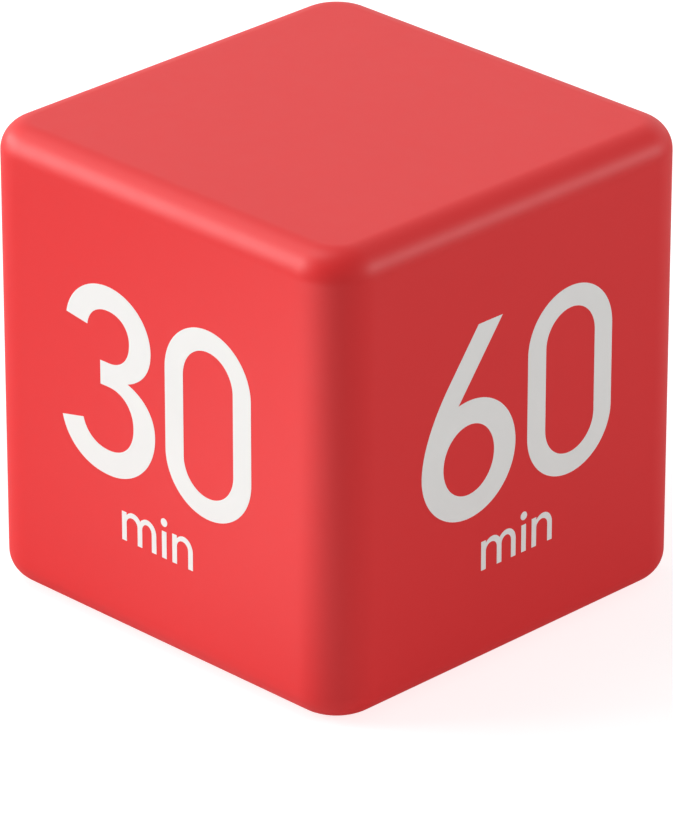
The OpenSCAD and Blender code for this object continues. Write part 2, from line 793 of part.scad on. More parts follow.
module sounder_case() color(ink_black) translate([sounder_x, sounder_y, 0]) difference() {
    rod(sounder_r, sounder_out, sounder_h);
    rod(sounder_r - 2 * sounder_wall, sounder_out + sounder_wall, sounder_h);
    rod(sounder_r - sounder_wall, sounder_shelf, sounder_h);
    rod(throat_r, sounder_out - over, 2 * over);
}

module sounder_disc() color(brass_colour) translate([sounder_x, sounder_y, 0])
    rod(sounder_r - sounder_wall - slack, sounder_shelf, disc_t);

module sounder_base() color("#6b665c") translate([sounder_x, sounder_y, 0]) {
    rod(sounder_r - sounder_wall - slack, board_in - wafer_t, wafer_t);
    for (spot = sounder_pin_spots()) translate([0, spot.y - sounder_y, 0])
        rod(pin_r, board_in - slack, board_t + lead_proud + slack);
}

// Power switch: a slide switch on the board, moved by a knob in the panel's slot

function terminal_spots() = [for (i = [-1:1]) [switch_x, switch_y + i * terminal_pitch]];

module switch_frame() color(bright_metal) translate([switch_x, switch_y, 0]) difference() {
    block([-frame_w / 2, -frame_l / 2, frame_out], [frame_w / 2, frame_l / 2, board_in]);
    block([-frame_w / 2 + frame_wall, -frame_l / 2 + frame_wall, frame_out + frame_wall],
        [frame_w / 2 - frame_wall, frame_l / 2 - frame_wall, board_in + over]);
    half_slot = stem_side / 2 + switch_travel / 2 + knob_gap;
    block([-stem_side / 2 - slack, -half_slot, frame_out - over],
        [stem_side / 2 + slack, half_slot, frame_out + over]);
}

module switch_wafer() color("#8a6a42") translate([switch_x, switch_y, 0])
    block([-frame_w / 2 + frame_wall, -frame_l / 2 + frame_wall, board_in - wafer_t],
        [frame_w / 2 - frame_wall, frame_l / 2 - frame_wall, board_in]);

module switch_terminals() color(bright_metal) for (spot = terminal_spots()) translate(spot)
    block([-terminal_side / 2, -terminal_side / 2, board_in],
        [terminal_side / 2, terminal_side / 2, board_out + lead_proud]);

module switch_slider() color("#efeeea") translate([switch_x, switch_off_y, 0]) {
    inner_w = frame_w / 2 - frame_wall - slack;
    block([-inner_w, -slider_l / 2, slider_out], [inner_w, slider_l / 2, slider_in]);
    block([-stem_side / 2, -stem_side / 2, flange_in + slack],
        [stem_side / 2, stem_side / 2, slider_out + slack]);
}

module switch_cap() color(ink_black) translate([switch_x, switch_off_y, 0]) difference() {
    union() {
        plate(knob_w, knob_l, slot_r - knob_gap, knob_out, flange_out - knob_out + slack);
        block([-flange_w / 2, -flange_l / 2, flange_out], [flange_w / 2, flange_l / 2, flange_in]);
        block([-knob_w / 2, -knob_l / 2, flange_in - slack], [knob_w / 2, knob_l / 2, socket_in]);
    }
    socket = stem_side / 2 + stem_play;
    block([-socket, -socket, flange_in], [socket, socket, socket_in + over]);
    // grip lines across the knob
    for (i = [-1:1]) translate([0, i * knob_l / 4, knob_out])
        cube([knob_w + over, step, step], center = true);
}

// Cells, contacts, springs and leads

// AAA cell along +X, centred, with its button at +X
module cell() {
    button_r = 1.9;
    button_l = 1;
    soft = 0.6;
    r = cell_d / 2;
    body = cell_l - button_l;
    translate([-cell_l / 2, 0, 0]) rotate([0, 90, 0]) rotate_extrude() {
        polygon([
            [0, 0], [r - soft, 0], [r, soft], [r, body - soft], [r - soft, body],
            [button_r, body], [button_r, cell_l], [0, cell_l],
        ]);
    }
}

module battery_front() color("#3b3f46") translate([cell_shift, cell_y[0], cell_z]) cell();

module battery_rear() color("#3b3f46") translate([-cell_shift, cell_y[1], cell_z]) mirror([1, 0, 0]) cell();

// Upright contact plate on the bay's end wall at +X, centred on y, with a solder tab through the roof
module end_plate(y, w) {
    height = contact_top - contact_foot;
    translate([tab_face_x, y, contact_foot + height / 2]) rotate([90, 0, 90])
        linear_extrude(contact_t) rounded_rect(w, height, contact_corner);
}

module solder_tab(y) {
    block([tab_face_x, y - solder_tab_w / 2, contact_top - contact_corner],
        [bay_l / 2, y + solder_tab_w / 2, roof_out + solder_tab_h]);
}

module positive_contact() color(bright_metal) {
    end_plate(cell_y[0], contact_w);
    solder_tab(cell_y[0]);
}

module negative_contact() color(bright_metal) {
    end_plate(cell_y[1], contact_w);
    solder_tab(cell_y[1]);
}

module bridge_contact() color(bright_metal)
    mirror([1, 0, 0]) end_plate(bay_mid, contact_w + cell_d + cell_gap);

module battery_springs() color(bright_metal) {
    route = spring_route();
    translate([-tab_face_x, cell_y[0], cell_z]) tube(route, spring_wire / 2, 6);
    translate([tab_face_x, cell_y[1], cell_z]) rotate([0, 0, 180]) tube(route, spring_wire / 2, 6);
}

module red_lead() color("#c8312f") tube(smooth_route(red_route, lead_steps), lead_d / 2, lead_sides);

module black_lead() color(ink_black) tube(smooth_route(black_route, lead_steps), lead_d / 2, lead_sides);

// Screws

module case_screws() color(bright_metal) for (sx = [-1, 1])
    translate([sx * post_spot, post_spot, case_head_out])
        screw(case_head_r, case_head_h, case_screw_r, case_screw_l);

module board_screws() color(bright_metal) for (spot = boss_spots)
    translate([spot.x, spot.y, board_out + board_head_h]) mirror([0, 0, 1])
        screw(board_head_r, board_head_h, board_screw_r, board_screw_l);

outer_shell();
service_panel();
battery_door();
display_window();
lcd_polariser();
lcd_cell();
lcd_reflector();
lcd_holder();
zebra_strip();
circuit_board();
controller_blob();
crystal_can();
chip_components();
tilt_tray();
tilt_lid();
tilt_pins();
tilt_ball();
sounder_case();
sounder_disc();
sounder_base();
switch_frame();
switch_wafer();
switch_terminals();
switch_slider();
switch_cap();
battery_front();
battery_rear();
positive_contact();
negative_contact();
bridge_contact();
battery_springs();
red_lead();
black_lead();
case_screws();
board_screws();
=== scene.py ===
"""Looks of a turn-to-start cube timer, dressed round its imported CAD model.

The frame gives the places and sizes, in metres. A new piece is worked out in millimetres, as points
on a grid of two parameters, and becomes metres when its mesh is made. Seen from above, -Y is the
front of the cube and +X its right side.
"""

from __future__ import annotations

import logging
import math
from collections.abc import Sequence
from dataclasses import dataclass, field
from enum import Enum
from functools import cache

import bmesh
import bpy
import numpy as np
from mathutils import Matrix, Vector

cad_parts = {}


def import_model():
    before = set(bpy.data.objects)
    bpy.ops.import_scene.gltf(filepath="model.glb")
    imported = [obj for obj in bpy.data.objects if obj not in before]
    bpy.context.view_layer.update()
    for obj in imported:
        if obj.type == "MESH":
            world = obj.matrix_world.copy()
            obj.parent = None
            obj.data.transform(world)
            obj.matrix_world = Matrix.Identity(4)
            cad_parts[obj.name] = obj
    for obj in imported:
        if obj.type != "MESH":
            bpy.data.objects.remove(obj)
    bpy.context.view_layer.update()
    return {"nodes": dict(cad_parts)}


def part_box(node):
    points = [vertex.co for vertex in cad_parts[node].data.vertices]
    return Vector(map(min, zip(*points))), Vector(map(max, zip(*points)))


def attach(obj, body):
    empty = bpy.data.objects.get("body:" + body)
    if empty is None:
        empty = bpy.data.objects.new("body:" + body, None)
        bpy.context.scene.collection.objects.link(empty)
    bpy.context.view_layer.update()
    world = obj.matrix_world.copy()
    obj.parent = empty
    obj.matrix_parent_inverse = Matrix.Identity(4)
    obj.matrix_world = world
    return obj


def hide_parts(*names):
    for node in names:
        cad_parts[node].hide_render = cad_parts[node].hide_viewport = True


LOG = logging.getLogger("cube_timer")
CASE_BODY = "case"
MM = 0.001
SHARP_ANGLE = math.radians(35)
# In metres: points nearer than the first are one point, and an edge shorter than the second goes.
MERGE_GAP = 2e-7
LEAST_EDGE = 1e-8
# The part of 0 to 1 that a noise texture really covers.
NOISE_LOW, NOISE_HIGH = 0.3, 0.7
# The mesh attribute that holds how far along its cell a point is.
ALONG = "along"
# The signs of a square's corners, anticlockwise, and a factor that drops what lies along X.
CORNER_SIGNS = np.array([[1, 1], [-1, 1], [-1, -1], [1, -1]])
ACROSS_X = np.array([0, 1, 1])

Array = np.ndarray
Pair = tuple[float, float]
Triple = tuple[float, float, float]
Colour = Triple
Value = float | Sequence[float]
Socket = bpy.types.NodeSocket


class Side(Enum):
    """The four timed sides, by their turn about the upright axis, in degrees."""

    FRONT = 0
    RIGHT = 90
    BACK = 180
    LEFT = 270

    def place(self, points: Array, half: float) -> Array:
        """Puts points drawn on a side in their place in space.

        The front's point (u, v, h) is (u, -half - h, v), and the other sides turn that about Z.

        Args:
            points: u to the right, v upwards and h outwards from the side, in millimetres.
            half: half the cube's side.

        Returns:
            The points in the frame of the cube.
        """
        turn = math.radians(self.value)
        across, out = points[..., 0], -half - points[..., 2]
        x = across * math.cos(turn) - out * math.sin(turn)
        y = across * math.sin(turn) + out * math.cos(turn)
        return np.stack([x, y, points[..., 1]], -1)


class Axis(Enum):
    """The axes that a profile is turned about, by their numbers."""

    X = 0
    Z = 2


class Facing(Enum):
    """The way that a cell's positive end, or a spring's tip, faces along X, by its sign."""

    LEFT = -1
    RIGHT = 1


def linear(red: int, green: int, blue: int) -> Colour:
    """Turns a screen colour, 0 to 255 a channel, into the linear values of shaders, by the sRGB curve."""
    c = np.array([red, green, blue]) / 255
    return tuple(np.where(c <= 0.04045, c / 12.92, ((c + 0.055) / 1.055) ** 2.4).tolist())


def node_box(node: str) -> tuple[Array, Array]:
    """Gives a CAD node's lowest and highest corners, in millimetres."""
    low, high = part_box(node)
    return np.array(low) / MM, np.array(high) / MM


def arc(
    centre: Sequence[float],
    radii: Sequence[float],
    start: float,
    stop: float,
    count: int,
    power: float = 1.0,
) -> Array:
    """Points on an ellipse, or on one with fuller corners: centre + (a cos^p t, b sin^p t).

    Args:
        centre: middle of the ellipse.
        radii: half axes a and b.
        start: first t, in degrees.
        stop: last t, in degrees.
        count: number of points.
        power: the p of the formula, taken on the size of cos t and sin t; below 1 the corners fill out.

    Returns:
        An array of count by 2.
    """
    t = np.radians(np.linspace(start, stop, count))
    unit = np.stack([np.cos(t), np.sin(t)], -1)
    return np.array(centre) + np.array(radii) * np.sign(unit) * np.abs(unit) ** power


def line(start: Sequence[float], stop: Sequence[float], count: int) -> Array:
    """Evenly spaced points from start to stop."""
    return np.linspace(start, stop, count)


def bezier(controls: Sequence[Sequence[float]], count: int) -> Array:
    """Points on a cubic curve, by its Bernstein weights.

    Args:
        controls: its four control points.
        count: number of points.

    Returns:
        An array of count by 2.
    """
    t = np.linspace(0, 1, count)[:, None]
    weights = np.concatenate([(1 - t) ** 3, 3 * t * (1 - t) ** 2, 3 * t**2 * (1 - t), t**3], 1)
    return weights @ np.array(controls, float)


def smooth_route(points: Array, steps: int) -> Array:
    """Catmull-Rom curve through given points, with the first and last stretch kept straight.

    Each stretch is the cubic whose slope at a point is half the way between that point's neighbours.

    Args:
        points: the route, in millimetres.
        steps: points made for each stretch.

    Returns:
        The points of the curve.
    """
    before, here, after, beyond = points[:-3], points[1:-2], points[2:-1], points[3:]
    t = (np.arange(steps) / steps)[None, :, None]
    curve = 0.5 * (
        2 * here[:, None]
        + (after - before)[:, None] * t
        + (2 * before - 5 * here + 4 * after - beyond)[:, None] * t**2
        + (3 * here - before - 3 * after + beyond)[:, None] * t**3
    )
    return np.concatenate([points[:1], curve.reshape(-1, 3), points[-2:]])


def film_rings(left: Array, right: Array, low: float, high: float) -> Array:
    """A thin film between two edges: each sample's ring goes up one edge, across and down the other.

    Args:
        left: points of one edge, a count by 2.
        right: points of the other edge, as many.
        low: height of the film's foot.
        high: height of its top.

    Returns:
        An array of count by 4 by 3.
    """
    foot, top = (np.full((len(left), 1), height) for height in (low, high))
    corners = ((left, foot), (left, top), (right, top), (right, foot))
    return np.stack([np.concatenate(corner, 1) for corner in corners], 1)


@dataclass
class Draft:
    """A mesh in the making: grids of points, in millimetres, that become one object."""

    points: list[Array] = field(default_factory=list)
    faces: list[Array] = field(default_factory=list)
    count: int = 0

    def grid(self, points: Array, wrap_rows: bool = False, wrap_columns: bool = False) -> None:
        """Adds a grid of points joined by four-sided faces.

        Args:
            points: an array of rows by columns by 3.
            wrap_rows: joins the last row to the first.
            wrap_columns: joins the end of each row to its start.
        """
        rows, columns = points.shape[:2]
        i = np.arange(rows if wrap_rows else rows - 1)[:, None]
        j = np.arange(columns if wrap_columns else columns - 1)[None, :]
        here, below = i * columns, (i + 1) % rows * columns
        across = (j + 1) % columns
        quads = np.stack([here + j, here + across, below + across, below + j], -1)
        self.points.append(points.reshape(-1, 3))
        self.faces.append(quads.reshape(-1, 4) + self.count)
        self.count += rows * columns

    def closed_sweep(self, rings: Array) -> None:
        """Adds rings of points as a closed skin, with each end drawn in to its middle point."""
        ends = rings[[0, -1]].mean(1, keepdims=True) + np.zeros((2, rings.shape[1], 3))
        self.grid(np.concatenate([ends[:1], rings, ends[1:]]), wrap_columns=True)

    def lathe(self, profile: Array, centre: Sequence[float], axis: Axis, sides: int = 48) -> None:
        """Adds a profile revolved about an axis: each (along, r) becomes a circle of radius r.

        Args:
            profile: distances along the axis and radii.
            centre: the point that distances are measured from.
            axis: the axis.
            sides: number of points round the circle.
        """
        a = np.arange(sides) * 2 * np.pi / sides
        along, r = profile[:, :1], profile[:, 1:]
        turned = [along + 0 * a, r * np.cos(a), r * np.sin(a)]
        self.grid(np.stack(np.roll(turned, axis.value, 0), -1) + np.array(centre), wrap_columns=True)

    def tube(self, path: Array, guide: Array, radius: float, sides: int = 16) -> None:
        """Adds a round tube: a circle of that radius carried along a path.

        The circle lies across the path's slope, turned so that its first point faces the guide.

        Args:
            path: points of the middle line.
            guide: a direction across the path at each point.
            radius: radius of the tube.
            sides: number of points round the circle.
        """
        slope = np.gradient(path, axis=0)
        slope /= np.linalg.norm(slope, axis=1, keepdims=True)
        first = guide - (guide * slope).sum(1, keepdims=True) * slope
        first /= np.linalg.norm(first, axis=1, keepdims=True)
        second = np.cross(slope, first)
        a = (np.arange(sides) * 2 * np.pi / sides)[None, :, None]
        circle = np.cos(a) * first[:, None] + np.sin(a) * second[:, None]
        self.closed_sweep(path[:, None] + radius * circle)

    def prism(self, outline: Array, shift: Sequence[float]) -> None:
        """Adds a flat outline carried along a straight shift, closed at both ends."""
        self.closed_sweep(np.stack([outline, outline + np.array(shift)]))

    def mesh(self, name: str) -> bpy.types.Mesh:
        """Makes the mesh, in metres, with doubles merged, faces outwards and soft curves smooth.

        Args:
            name: name of the mesh.

        Returns:
            The mesh.
        """
        made = bpy.data.meshes.new(name)
        points = np.concatenate(self.points) * MM
        made.from_pydata(points.tolist(), [], np.concatenate(self.faces).tolist())
        work = bmesh.new()
        work.from_mesh(made)
        bmesh.ops.remove_doubles(work, verts=work.verts, dist=MERGE_GAP)
        bmesh.ops.dissolve_degenerate(work, edges=work.edges, dist=LEAST_EDGE)
        bmesh.ops.recalc_face_normals(work, faces=work.faces)
        work.to_mesh(made)
        work.free()
        made.shade_smooth()
        made.set_sharp_from_angle(angle=SHARP_ANGLE)
        return made


def put_in_scene(name: str, data: bpy.types.ID) -> bpy.types.Object:
    """Makes an object and links it to the scene.

    Args:
        name: name of the object.
        data: its mesh, lamp or camera.

    Returns:
        The object.
    """
    made = bpy.data.objects.new(name, data)
    bpy.context.scene.collection.objects.link(made)
    return made


def set_sockets(node: bpy.types.Node, values: dict[str, Value]) -> None:
    """Sets a node's input sockets, by their names."""
    for name, value in values.items():
        node.inputs[name].default_value = value


def new_node(tree: bpy.types.NodeTree, kind: str, values: dict[str, Value] | None = None) -> bpy.types.Node:
    """Adds a shader node.

    Args:
        tree: the node tree to add to.
        kind: the node's type, without the first word that all of them share.
        values: values for its input sockets, by their names.

    Returns:
        The node.
    """
    node = tree.nodes.new(f"ShaderNode{kind}")
    set_sockets(node, values or {})
    return node


class Shading:
    """A material's nodes in the making, with its main shader and object coordinates at hand."""

    def __init__(self, name: str) -> None:
        """Makes the material and finds its main shader.

        Args:
            name: name of the material.
        """
        self.material = bpy.data.materials.new(name)
        self.material.use_nodes = True
        self.tree = self.material.node_tree
        self.shader = self.tree.nodes["Principled BSDF"]
        self.place = new_node(self.tree, "TexCoord").outputs["Object"]

    def link(self, value: Socket, socket: Socket) -> None:
        """Feeds one socket to another."""
        self.tree.links.new(value, socket)

    def noise(self, size: float, layers: float = 2.0, stretch: Triple = (1, 1, 1)) -> Socket:
        """Gives a cloudy value from 0 to 1.

        Args:
            size: size of a patch, in millimetres.
            layers: number of finer layers.
            stretch: how much longer a patch is along each axis.

        Returns:
            The socket that carries the value.
        """
        mapping = new_node(self.tree, "Mapping", {"Scale": [1 / s for s in stretch]})
        node = new_node(self.tree, "TexNoise", {"Scale": 1 / (size * MM), "Detail": layers})
        self.link(self.place, mapping.inputs["Vector"])
        self.link(mapping.outputs["Vector"], node.inputs["Vector"])
        return node.outputs["Fac"]

    def roughen(self, value: Socket, low: float, high: float) -> None:
        """Spreads a cloudy value from low to high and makes it the roughness.

        Args:
            value: the socket that carries it.
            low: the least roughness.
            high: the greatest roughness.
        """
        spread = {"From Min": NOISE_LOW, "From Max": NOISE_HIGH, "To Min": low, "To Max": high}
        node = new_node(self.tree, "MapRange", spread)
        self.link(value, node.inputs["Value"])
        self.link(node.outputs["Result"], self.shader.inputs["Roughness"])

    def colours(self, value: Socket, places: Pair, pair: tuple[Colour, Colour], hard: bool = False) -> None:
        """Colours the surface by a value.

        Args:
            value: the socket that carries it.
            places: the two values that have a colour.
            pair: their colours.
            hard: steps from colour to colour with no fade.
        """
        node = new_node(self.tree, "ValToRGB")
        node.color_ramp.interpolation = "CONSTANT" if hard else "LINEAR"
        for element, place, colour in zip(node.color_ramp.elements, places, pair):
            element.position = place
            element.color = (*colour, 1)
        self.link(value, node.inputs["Fac"])
        self.link(node.outputs["Color"], self.shader.inputs["Base Color"])

    def drift(self, value: Socket, colour: Colour, share: float) -> None:
        """Colours the surface from a share darker to a share lighter than a colour, by a cloudy value."""
        pair = tuple(tuple(c * level for c in colour) for level in (1 - share, 1 + share))
        self.colours(value, (NOISE_LOW, NOISE_HIGH), pair)

    def bump(self, value: Socket, depth: float, strength: float = 1.0) -> None:
        """Raises and sinks the surface by a value.

        Args:
            value: the socket that carries it.
            depth: how deep a value of 1 goes, in millimetres.
            strength: the share of it that shows.
        """
        node = new_node(self.tree, "Bump", {"Distance": depth * MM, "Strength": strength})
        self.link(value, node.inputs["Height"])
        self.link(node.outputs["Normal"], self.shader.inputs["Normal"])


@dataclass(frozen=True)
class Moulded:
    """Moulded plastic, resin, rubber or ink: a colour that drifts a little, and a fine grain."""

    name: str
    colour: Colour
    roughness: float = 0.4
    reflection: float = 0.5
    grain: float = 0.25
    depth: float = 0.003
    unevenness: float = 0.02
    gloss_drift: float = 0.03
    tone_patch: float = 9.0
    gloss_patch: float = 2.5
    grain_layers: float = 3.0

    def material(self) -> bpy.types.Material:
        """Makes the material: patches of tone, patches of gloss and the mould's grain.

        Returns:
            The material.
        """
        work = Shading(self.name)
        set_sockets(work.shader, {"Specular IOR Level": self.reflection})
        work.drift(work.noise(self.tone_patch), self.colour, self.unevenness)
        gloss = (self.roughness - self.gloss_drift, self.roughness + self.gloss_drift)
        work.roughen(work.noise(self.gloss_patch), *gloss)
        work.bump(work.noise(self.grain, self.grain_layers), self.depth)
        return work.material


@dataclass(frozen=True)
class Metal:
    """Bare or plated metal with fine drawing marks."""

    name: str
    colour: Colour
    roughness: float = 0.28
    marks: Triple = (1, 1, 1)
    grain: float = 0.12
    tone_patch: float = 1.6
    tone_layers: float = 3.0
    unevenness: float = 0.05
    polish: float = 0.06
    dulling: float = 0.08
    depth: float = 0.002
    strength: float = 0.6

    def material(self) -> bpy.types.Material:
        """Makes the material: drawing marks stretched one way, in the gloss and in the surface.

        Returns:
            The material.
        """
        work = Shading(self.name)
        set_sockets(work.shader, {"Metallic": 1.0})
        work.drift(work.noise(self.tone_patch, self.tone_layers), self.colour, self.unevenness)
        marks = work.noise(self.grain, stretch=self.marks)
        work.roughen(marks, self.roughness - self.polish, self.roughness + self.dulling)
        work.bump(marks, self.depth, self.strength)
        return work.material


@dataclass(frozen=True)
class Clear:
    """Clear plastic or glass with the faint haze of handling."""

    name: str
    colour: Colour = (0.95, 0.96, 0.95)
    refraction: float = 1.49
    haze_patch: float = 3.0
    haze_layers: float = 4.0
    roughness: Pair = (0.02, 0.07)

    def material(self) -> bpy.types.Material:
        """Makes the material: a clear body whose gloss varies a little.

        Returns:
            The material.
        """
        work = Shading(self.name)
        body = {"Base Color": (*self.colour, 1), "Transmission Weight": 1.0, "IOR": self.refraction}
        set_sockets(work.shader, body)
        work.roughen(work.noise(self.haze_patch, self.haze_layers), *self.roughness)
        return work.material


@dataclass(frozen=True)
class Layered:
    """Connector rubber made of thin layers, dark ones that conduct between pale ones.

    A wave texture of scale 1 repeats after wave_unit, in metres.
    """

    name: str
    dark: Colour
    pale: Colour
    pitch: float = 0.36
    wave_unit: float = 0.314
    fade: Pair = (0.45, 0.55)
    gloss_patch: float = 0.6
    roughness: Pair = (0.55, 0.7)

    def material(self) -> bpy.types.Material:
        """Makes the material: bands along X at the pitch of the layers, on a soft rubber.

        Returns:
            The material.
        """
        work = Shading(self.name)
        bands = new_node(work.tree, "TexWave", {"Scale": self.wave_unit / (self.pitch * MM)})
        work.link(work.place, bands.inputs["Vector"])
        work.colours(bands.outputs["Fac"], self.fade, (self.dark, self.pale))
        work.roughen(work.noise(self.gloss_patch), *self.roughness)
        return work.material


@dataclass(frozen=True)
class Sleeve:
    """A cell's printed sleeve: a dark body and a bright band at the positive end."""

    name: str
    dark: Colour
    bright: Colour
    band: float = 0.74
    metallic: float = 0.35
    gloss_patch: float = 1.5
    gloss_layers: float = 3.0
    roughness: Pair = (0.24, 0.34)
    crease: float = 0.9
    depth: float = 0.004

    def material(self) -> bpy.types.Material:
        """Makes the material, which reads the share of the cell's length from its mesh.

        Returns:
            The material.
        """
        work = Shading(self.name)
        along = new_node(work.tree, "Attribute")
        along.attribute_name = ALONG
        work.colours(along.outputs["Fac"], (0.0, self.band), (self.dark, self.bright), hard=True)
        set_sockets(work.shader, {"Metallic": self.metallic})
        work.roughen(work.noise(self.gloss_patch, self.gloss_layers), *self.roughness)
        work.bump(work.noise(self.crease), self.depth)
        return work.material


@dataclass(frozen=True)
class SolderMask:
    """A circuit board: green lacquer over copper tracks that shine through."""

    name: str
    lacquer: Colour
    track: Colour
    run: float = 5.2
    pitch: float = 0.95
    width: float = 0.16
    stagger: float = 0.37
    fade: Pair = (0.3, 0.7)
    gloss_patch: float = 1.2
    roughness: Pair = (0.25, 0.36)
    depth: float = 0.02
    strength: float = 0.4

    def material(self) -> bpy.types.Material:
        """Makes the material: rows of tracks with short links between them, under a glossy lacquer.

        Returns:
            The material.
        """
        work = Shading(self.name)
        sizes = {"Mortar Size": self.width, "Brick Width": self.run, "Row Height": self.pitch}
        tracks = new_node(work.tree, "TexBrick", {"Scale": 1 / MM, **sizes})
        tracks.offset = self.stagger
        work.link(work.place, tracks.inputs["Vector"])
        work.colours(tracks.outputs["Fac"], self.fade, (self.lacquer, self.track))
        work.roughen(work.noise(self.gloss_patch), *self.roughness)
        work.bump(tracks.outputs["Fac"], self.depth, self.strength)
        return work.material


Finish = Moulded | Metal | Clear | Layered | Sleeve | SolderMask

CASE_RED = Moulded(
    "case_red", (0.80, 0.012, 0.014), 0.48, grain=0.22, depth=0.0015, unevenness=0.005, gloss_drift=0.01
)
PRINT_WHITE = Moulded(
    "print_white", (0.905, 0.898, 0.878), 0.48, 0.4, grain=0.12, depth=0.001, unevenness=0.012
)
PRINT_BLACK = Moulded("print_black", (0.014, 0.014, 0.015), 0.45, 0.4, grain=0.12, depth=0.001)
WINDOW_CLEAR = Clear("window_clear")
DISPLAY_FILM = Moulded("display_film", linear(150, 160, 142), 0.3, grain=0.8, depth=0.001)
DISPLAY_GLASS = Clear("display_glass", (0.86, 0.9, 0.86), refraction=1.52)
SEGMENT_GREY = Moulded("segment_grey", linear(96, 104, 92), 0.35, 0.4)
REFLECTOR_FILM = Metal("reflector_film", (0.62, 0.64, 0.6), 0.42, marks=(8, 1, 1))
HOLDER_WHITE = Moulded("holder_white", linear(233, 231, 225), 0.42)
CONNECTOR_RUBBER = Layered("connector_rubber", (0.012, 0.012, 0.013), (0.32, 0.31, 0.29))
BOARD_GREEN = SolderMask("board_green", linear(30, 92, 60), linear(52, 118, 78))
RESIN_BLACK = Moulded("resin_black", (0.013, 0.013, 0.014), 0.3, grain=1.2, depth=0.02)
CAN_METAL = Metal("can_metal", (0.7, 0.7, 0.71), 0.22, marks=(1, 12, 1))
CHIP_CERAMIC = Moulded("chip_ceramic", linear(92, 74, 60), 0.55)
SENSOR_PLASTIC = Moulded("sensor_plastic", linear(217, 214, 204), 0.45)
PIN_BRASS = Metal("pin_brass", (0.72, 0.5, 0.2), 0.25, marks=(1, 1, 10))
BALL_STEEL = Metal("ball_steel", (0.66, 0.67, 0.68), 0.12)
SOUNDER_BLACK = Moulded("sounder_black", (0.014, 0.014, 0.015), 0.45)
BASE_RESIN = Moulded("base_resin", linear(107, 102, 92), 0.5)
SLIDER_WHITE = Moulded("slider_white", linear(239, 238, 234), 0.4)
KNOB_BLACK = Moulded("knob_black", (0.016, 0.016, 0.017), 0.42, grain=0.2, depth=0.006)
CELL_WRAP = Sleeve("cell_wrap", linear(46, 48, 54), linear(196, 138, 72))
CONTACT_NICKEL = Metal("contact_nickel", (0.68, 0.67, 0.64), 0.26, marks=(1, 10, 1))
LEAD_RED = Moulded("lead_red", linear(200, 49, 47), 0.4)
LEAD_BLACK = Moulded("lead_black", (0.015, 0.015, 0.016), 0.4)
SCREW_ZINC = Metal("screw_zinc", (0.64, 0.64, 0.66), 0.3, marks=(6, 1, 1))

NODE_FINISHES: dict[str, Finish] = {
    "service_panel": CASE_RED,
    "battery_door": CASE_RED,
    "display_window": WINDOW_CLEAR,
    "lcd_polariser": DISPLAY_FILM,
    "lcd_cell": DISPLAY_GLASS,
    "lcd_reflector": REFLECTOR_FILM,
    "lcd_holder": HOLDER_WHITE,
    "zebra_strip": CONNECTOR_RUBBER,
    "circuit_board": BOARD_GREEN,
    "controller_blob": RESIN_BLACK,
    "crystal_can": CAN_METAL,
    "chip_components": CHIP_CERAMIC,
    "tilt_tray": SENSOR_PLASTIC,
    "tilt_lid": SENSOR_PLASTIC,
    "tilt_pins": PIN_BRASS,
    "tilt_ball": BALL_STEEL,
    "sounder_case": SOUNDER_BLACK,
    "sounder_disc": PIN_BRASS,
    "sounder_base": BASE_RESIN,
    "switch_frame": CAN_METAL,
    "switch_wafer": BASE_RESIN,
    "switch_terminals": CONTACT_NICKEL,
    "switch_slider": SLIDER_WHITE,
    "switch_cap": KNOB_BLACK,
    "positive_contact": CONTACT_NICKEL,
    "negative_contact": CONTACT_NICKEL,
    "bridge_contact": CONTACT_NICKEL,
    "case_screws": SCREW_ZINC,
    "board_screws": SCREW_ZINC,
}


@cache
def material_of(finish: Finish) -> bpy.types.Material:
    """Gives a finish's material, made once."""
    return finish.material()


def make_piece(
    draft: Draft, name: str, finish: Finish, stands_for: Sequence[str] = ()
) -> bpy.types.Object:
    """Makes a draft an object that rides on the case.

    Args:
        draft: the shapes of the piece.
        name: name of the object.
        finish: its finish, which also names its material.
        stands_for: CAD nodes that it replaces.

    Returns:
        The object.
    """
    piece = put_in_scene(name, draft.mesh(name))
    piece.data.materials.append(material_of(finish))
    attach(piece, CASE_BODY)
    if stands_for:
        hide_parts(*stands_for)
    LOG.info("%s: %d faces, %s", name, len(piece.data.polygons), finish.name)
    return piece


def dress_nodes(nodes: dict[str, bpy.types.Object]) -> None:
    """Gives each CAD node that still shows its finish.

    Args:
        nodes: the frame's nodes, by their names.
    """
    for name, finish in NODE_FINISHES.items():
        node = nodes[name]
        if not node.material_slots:
            node.data.materials.append(None)
        for slot in node.material_slots:
            slot.material = material_of(finish)
        LOG.info("%s: CAD node, %s", name, finish.name)


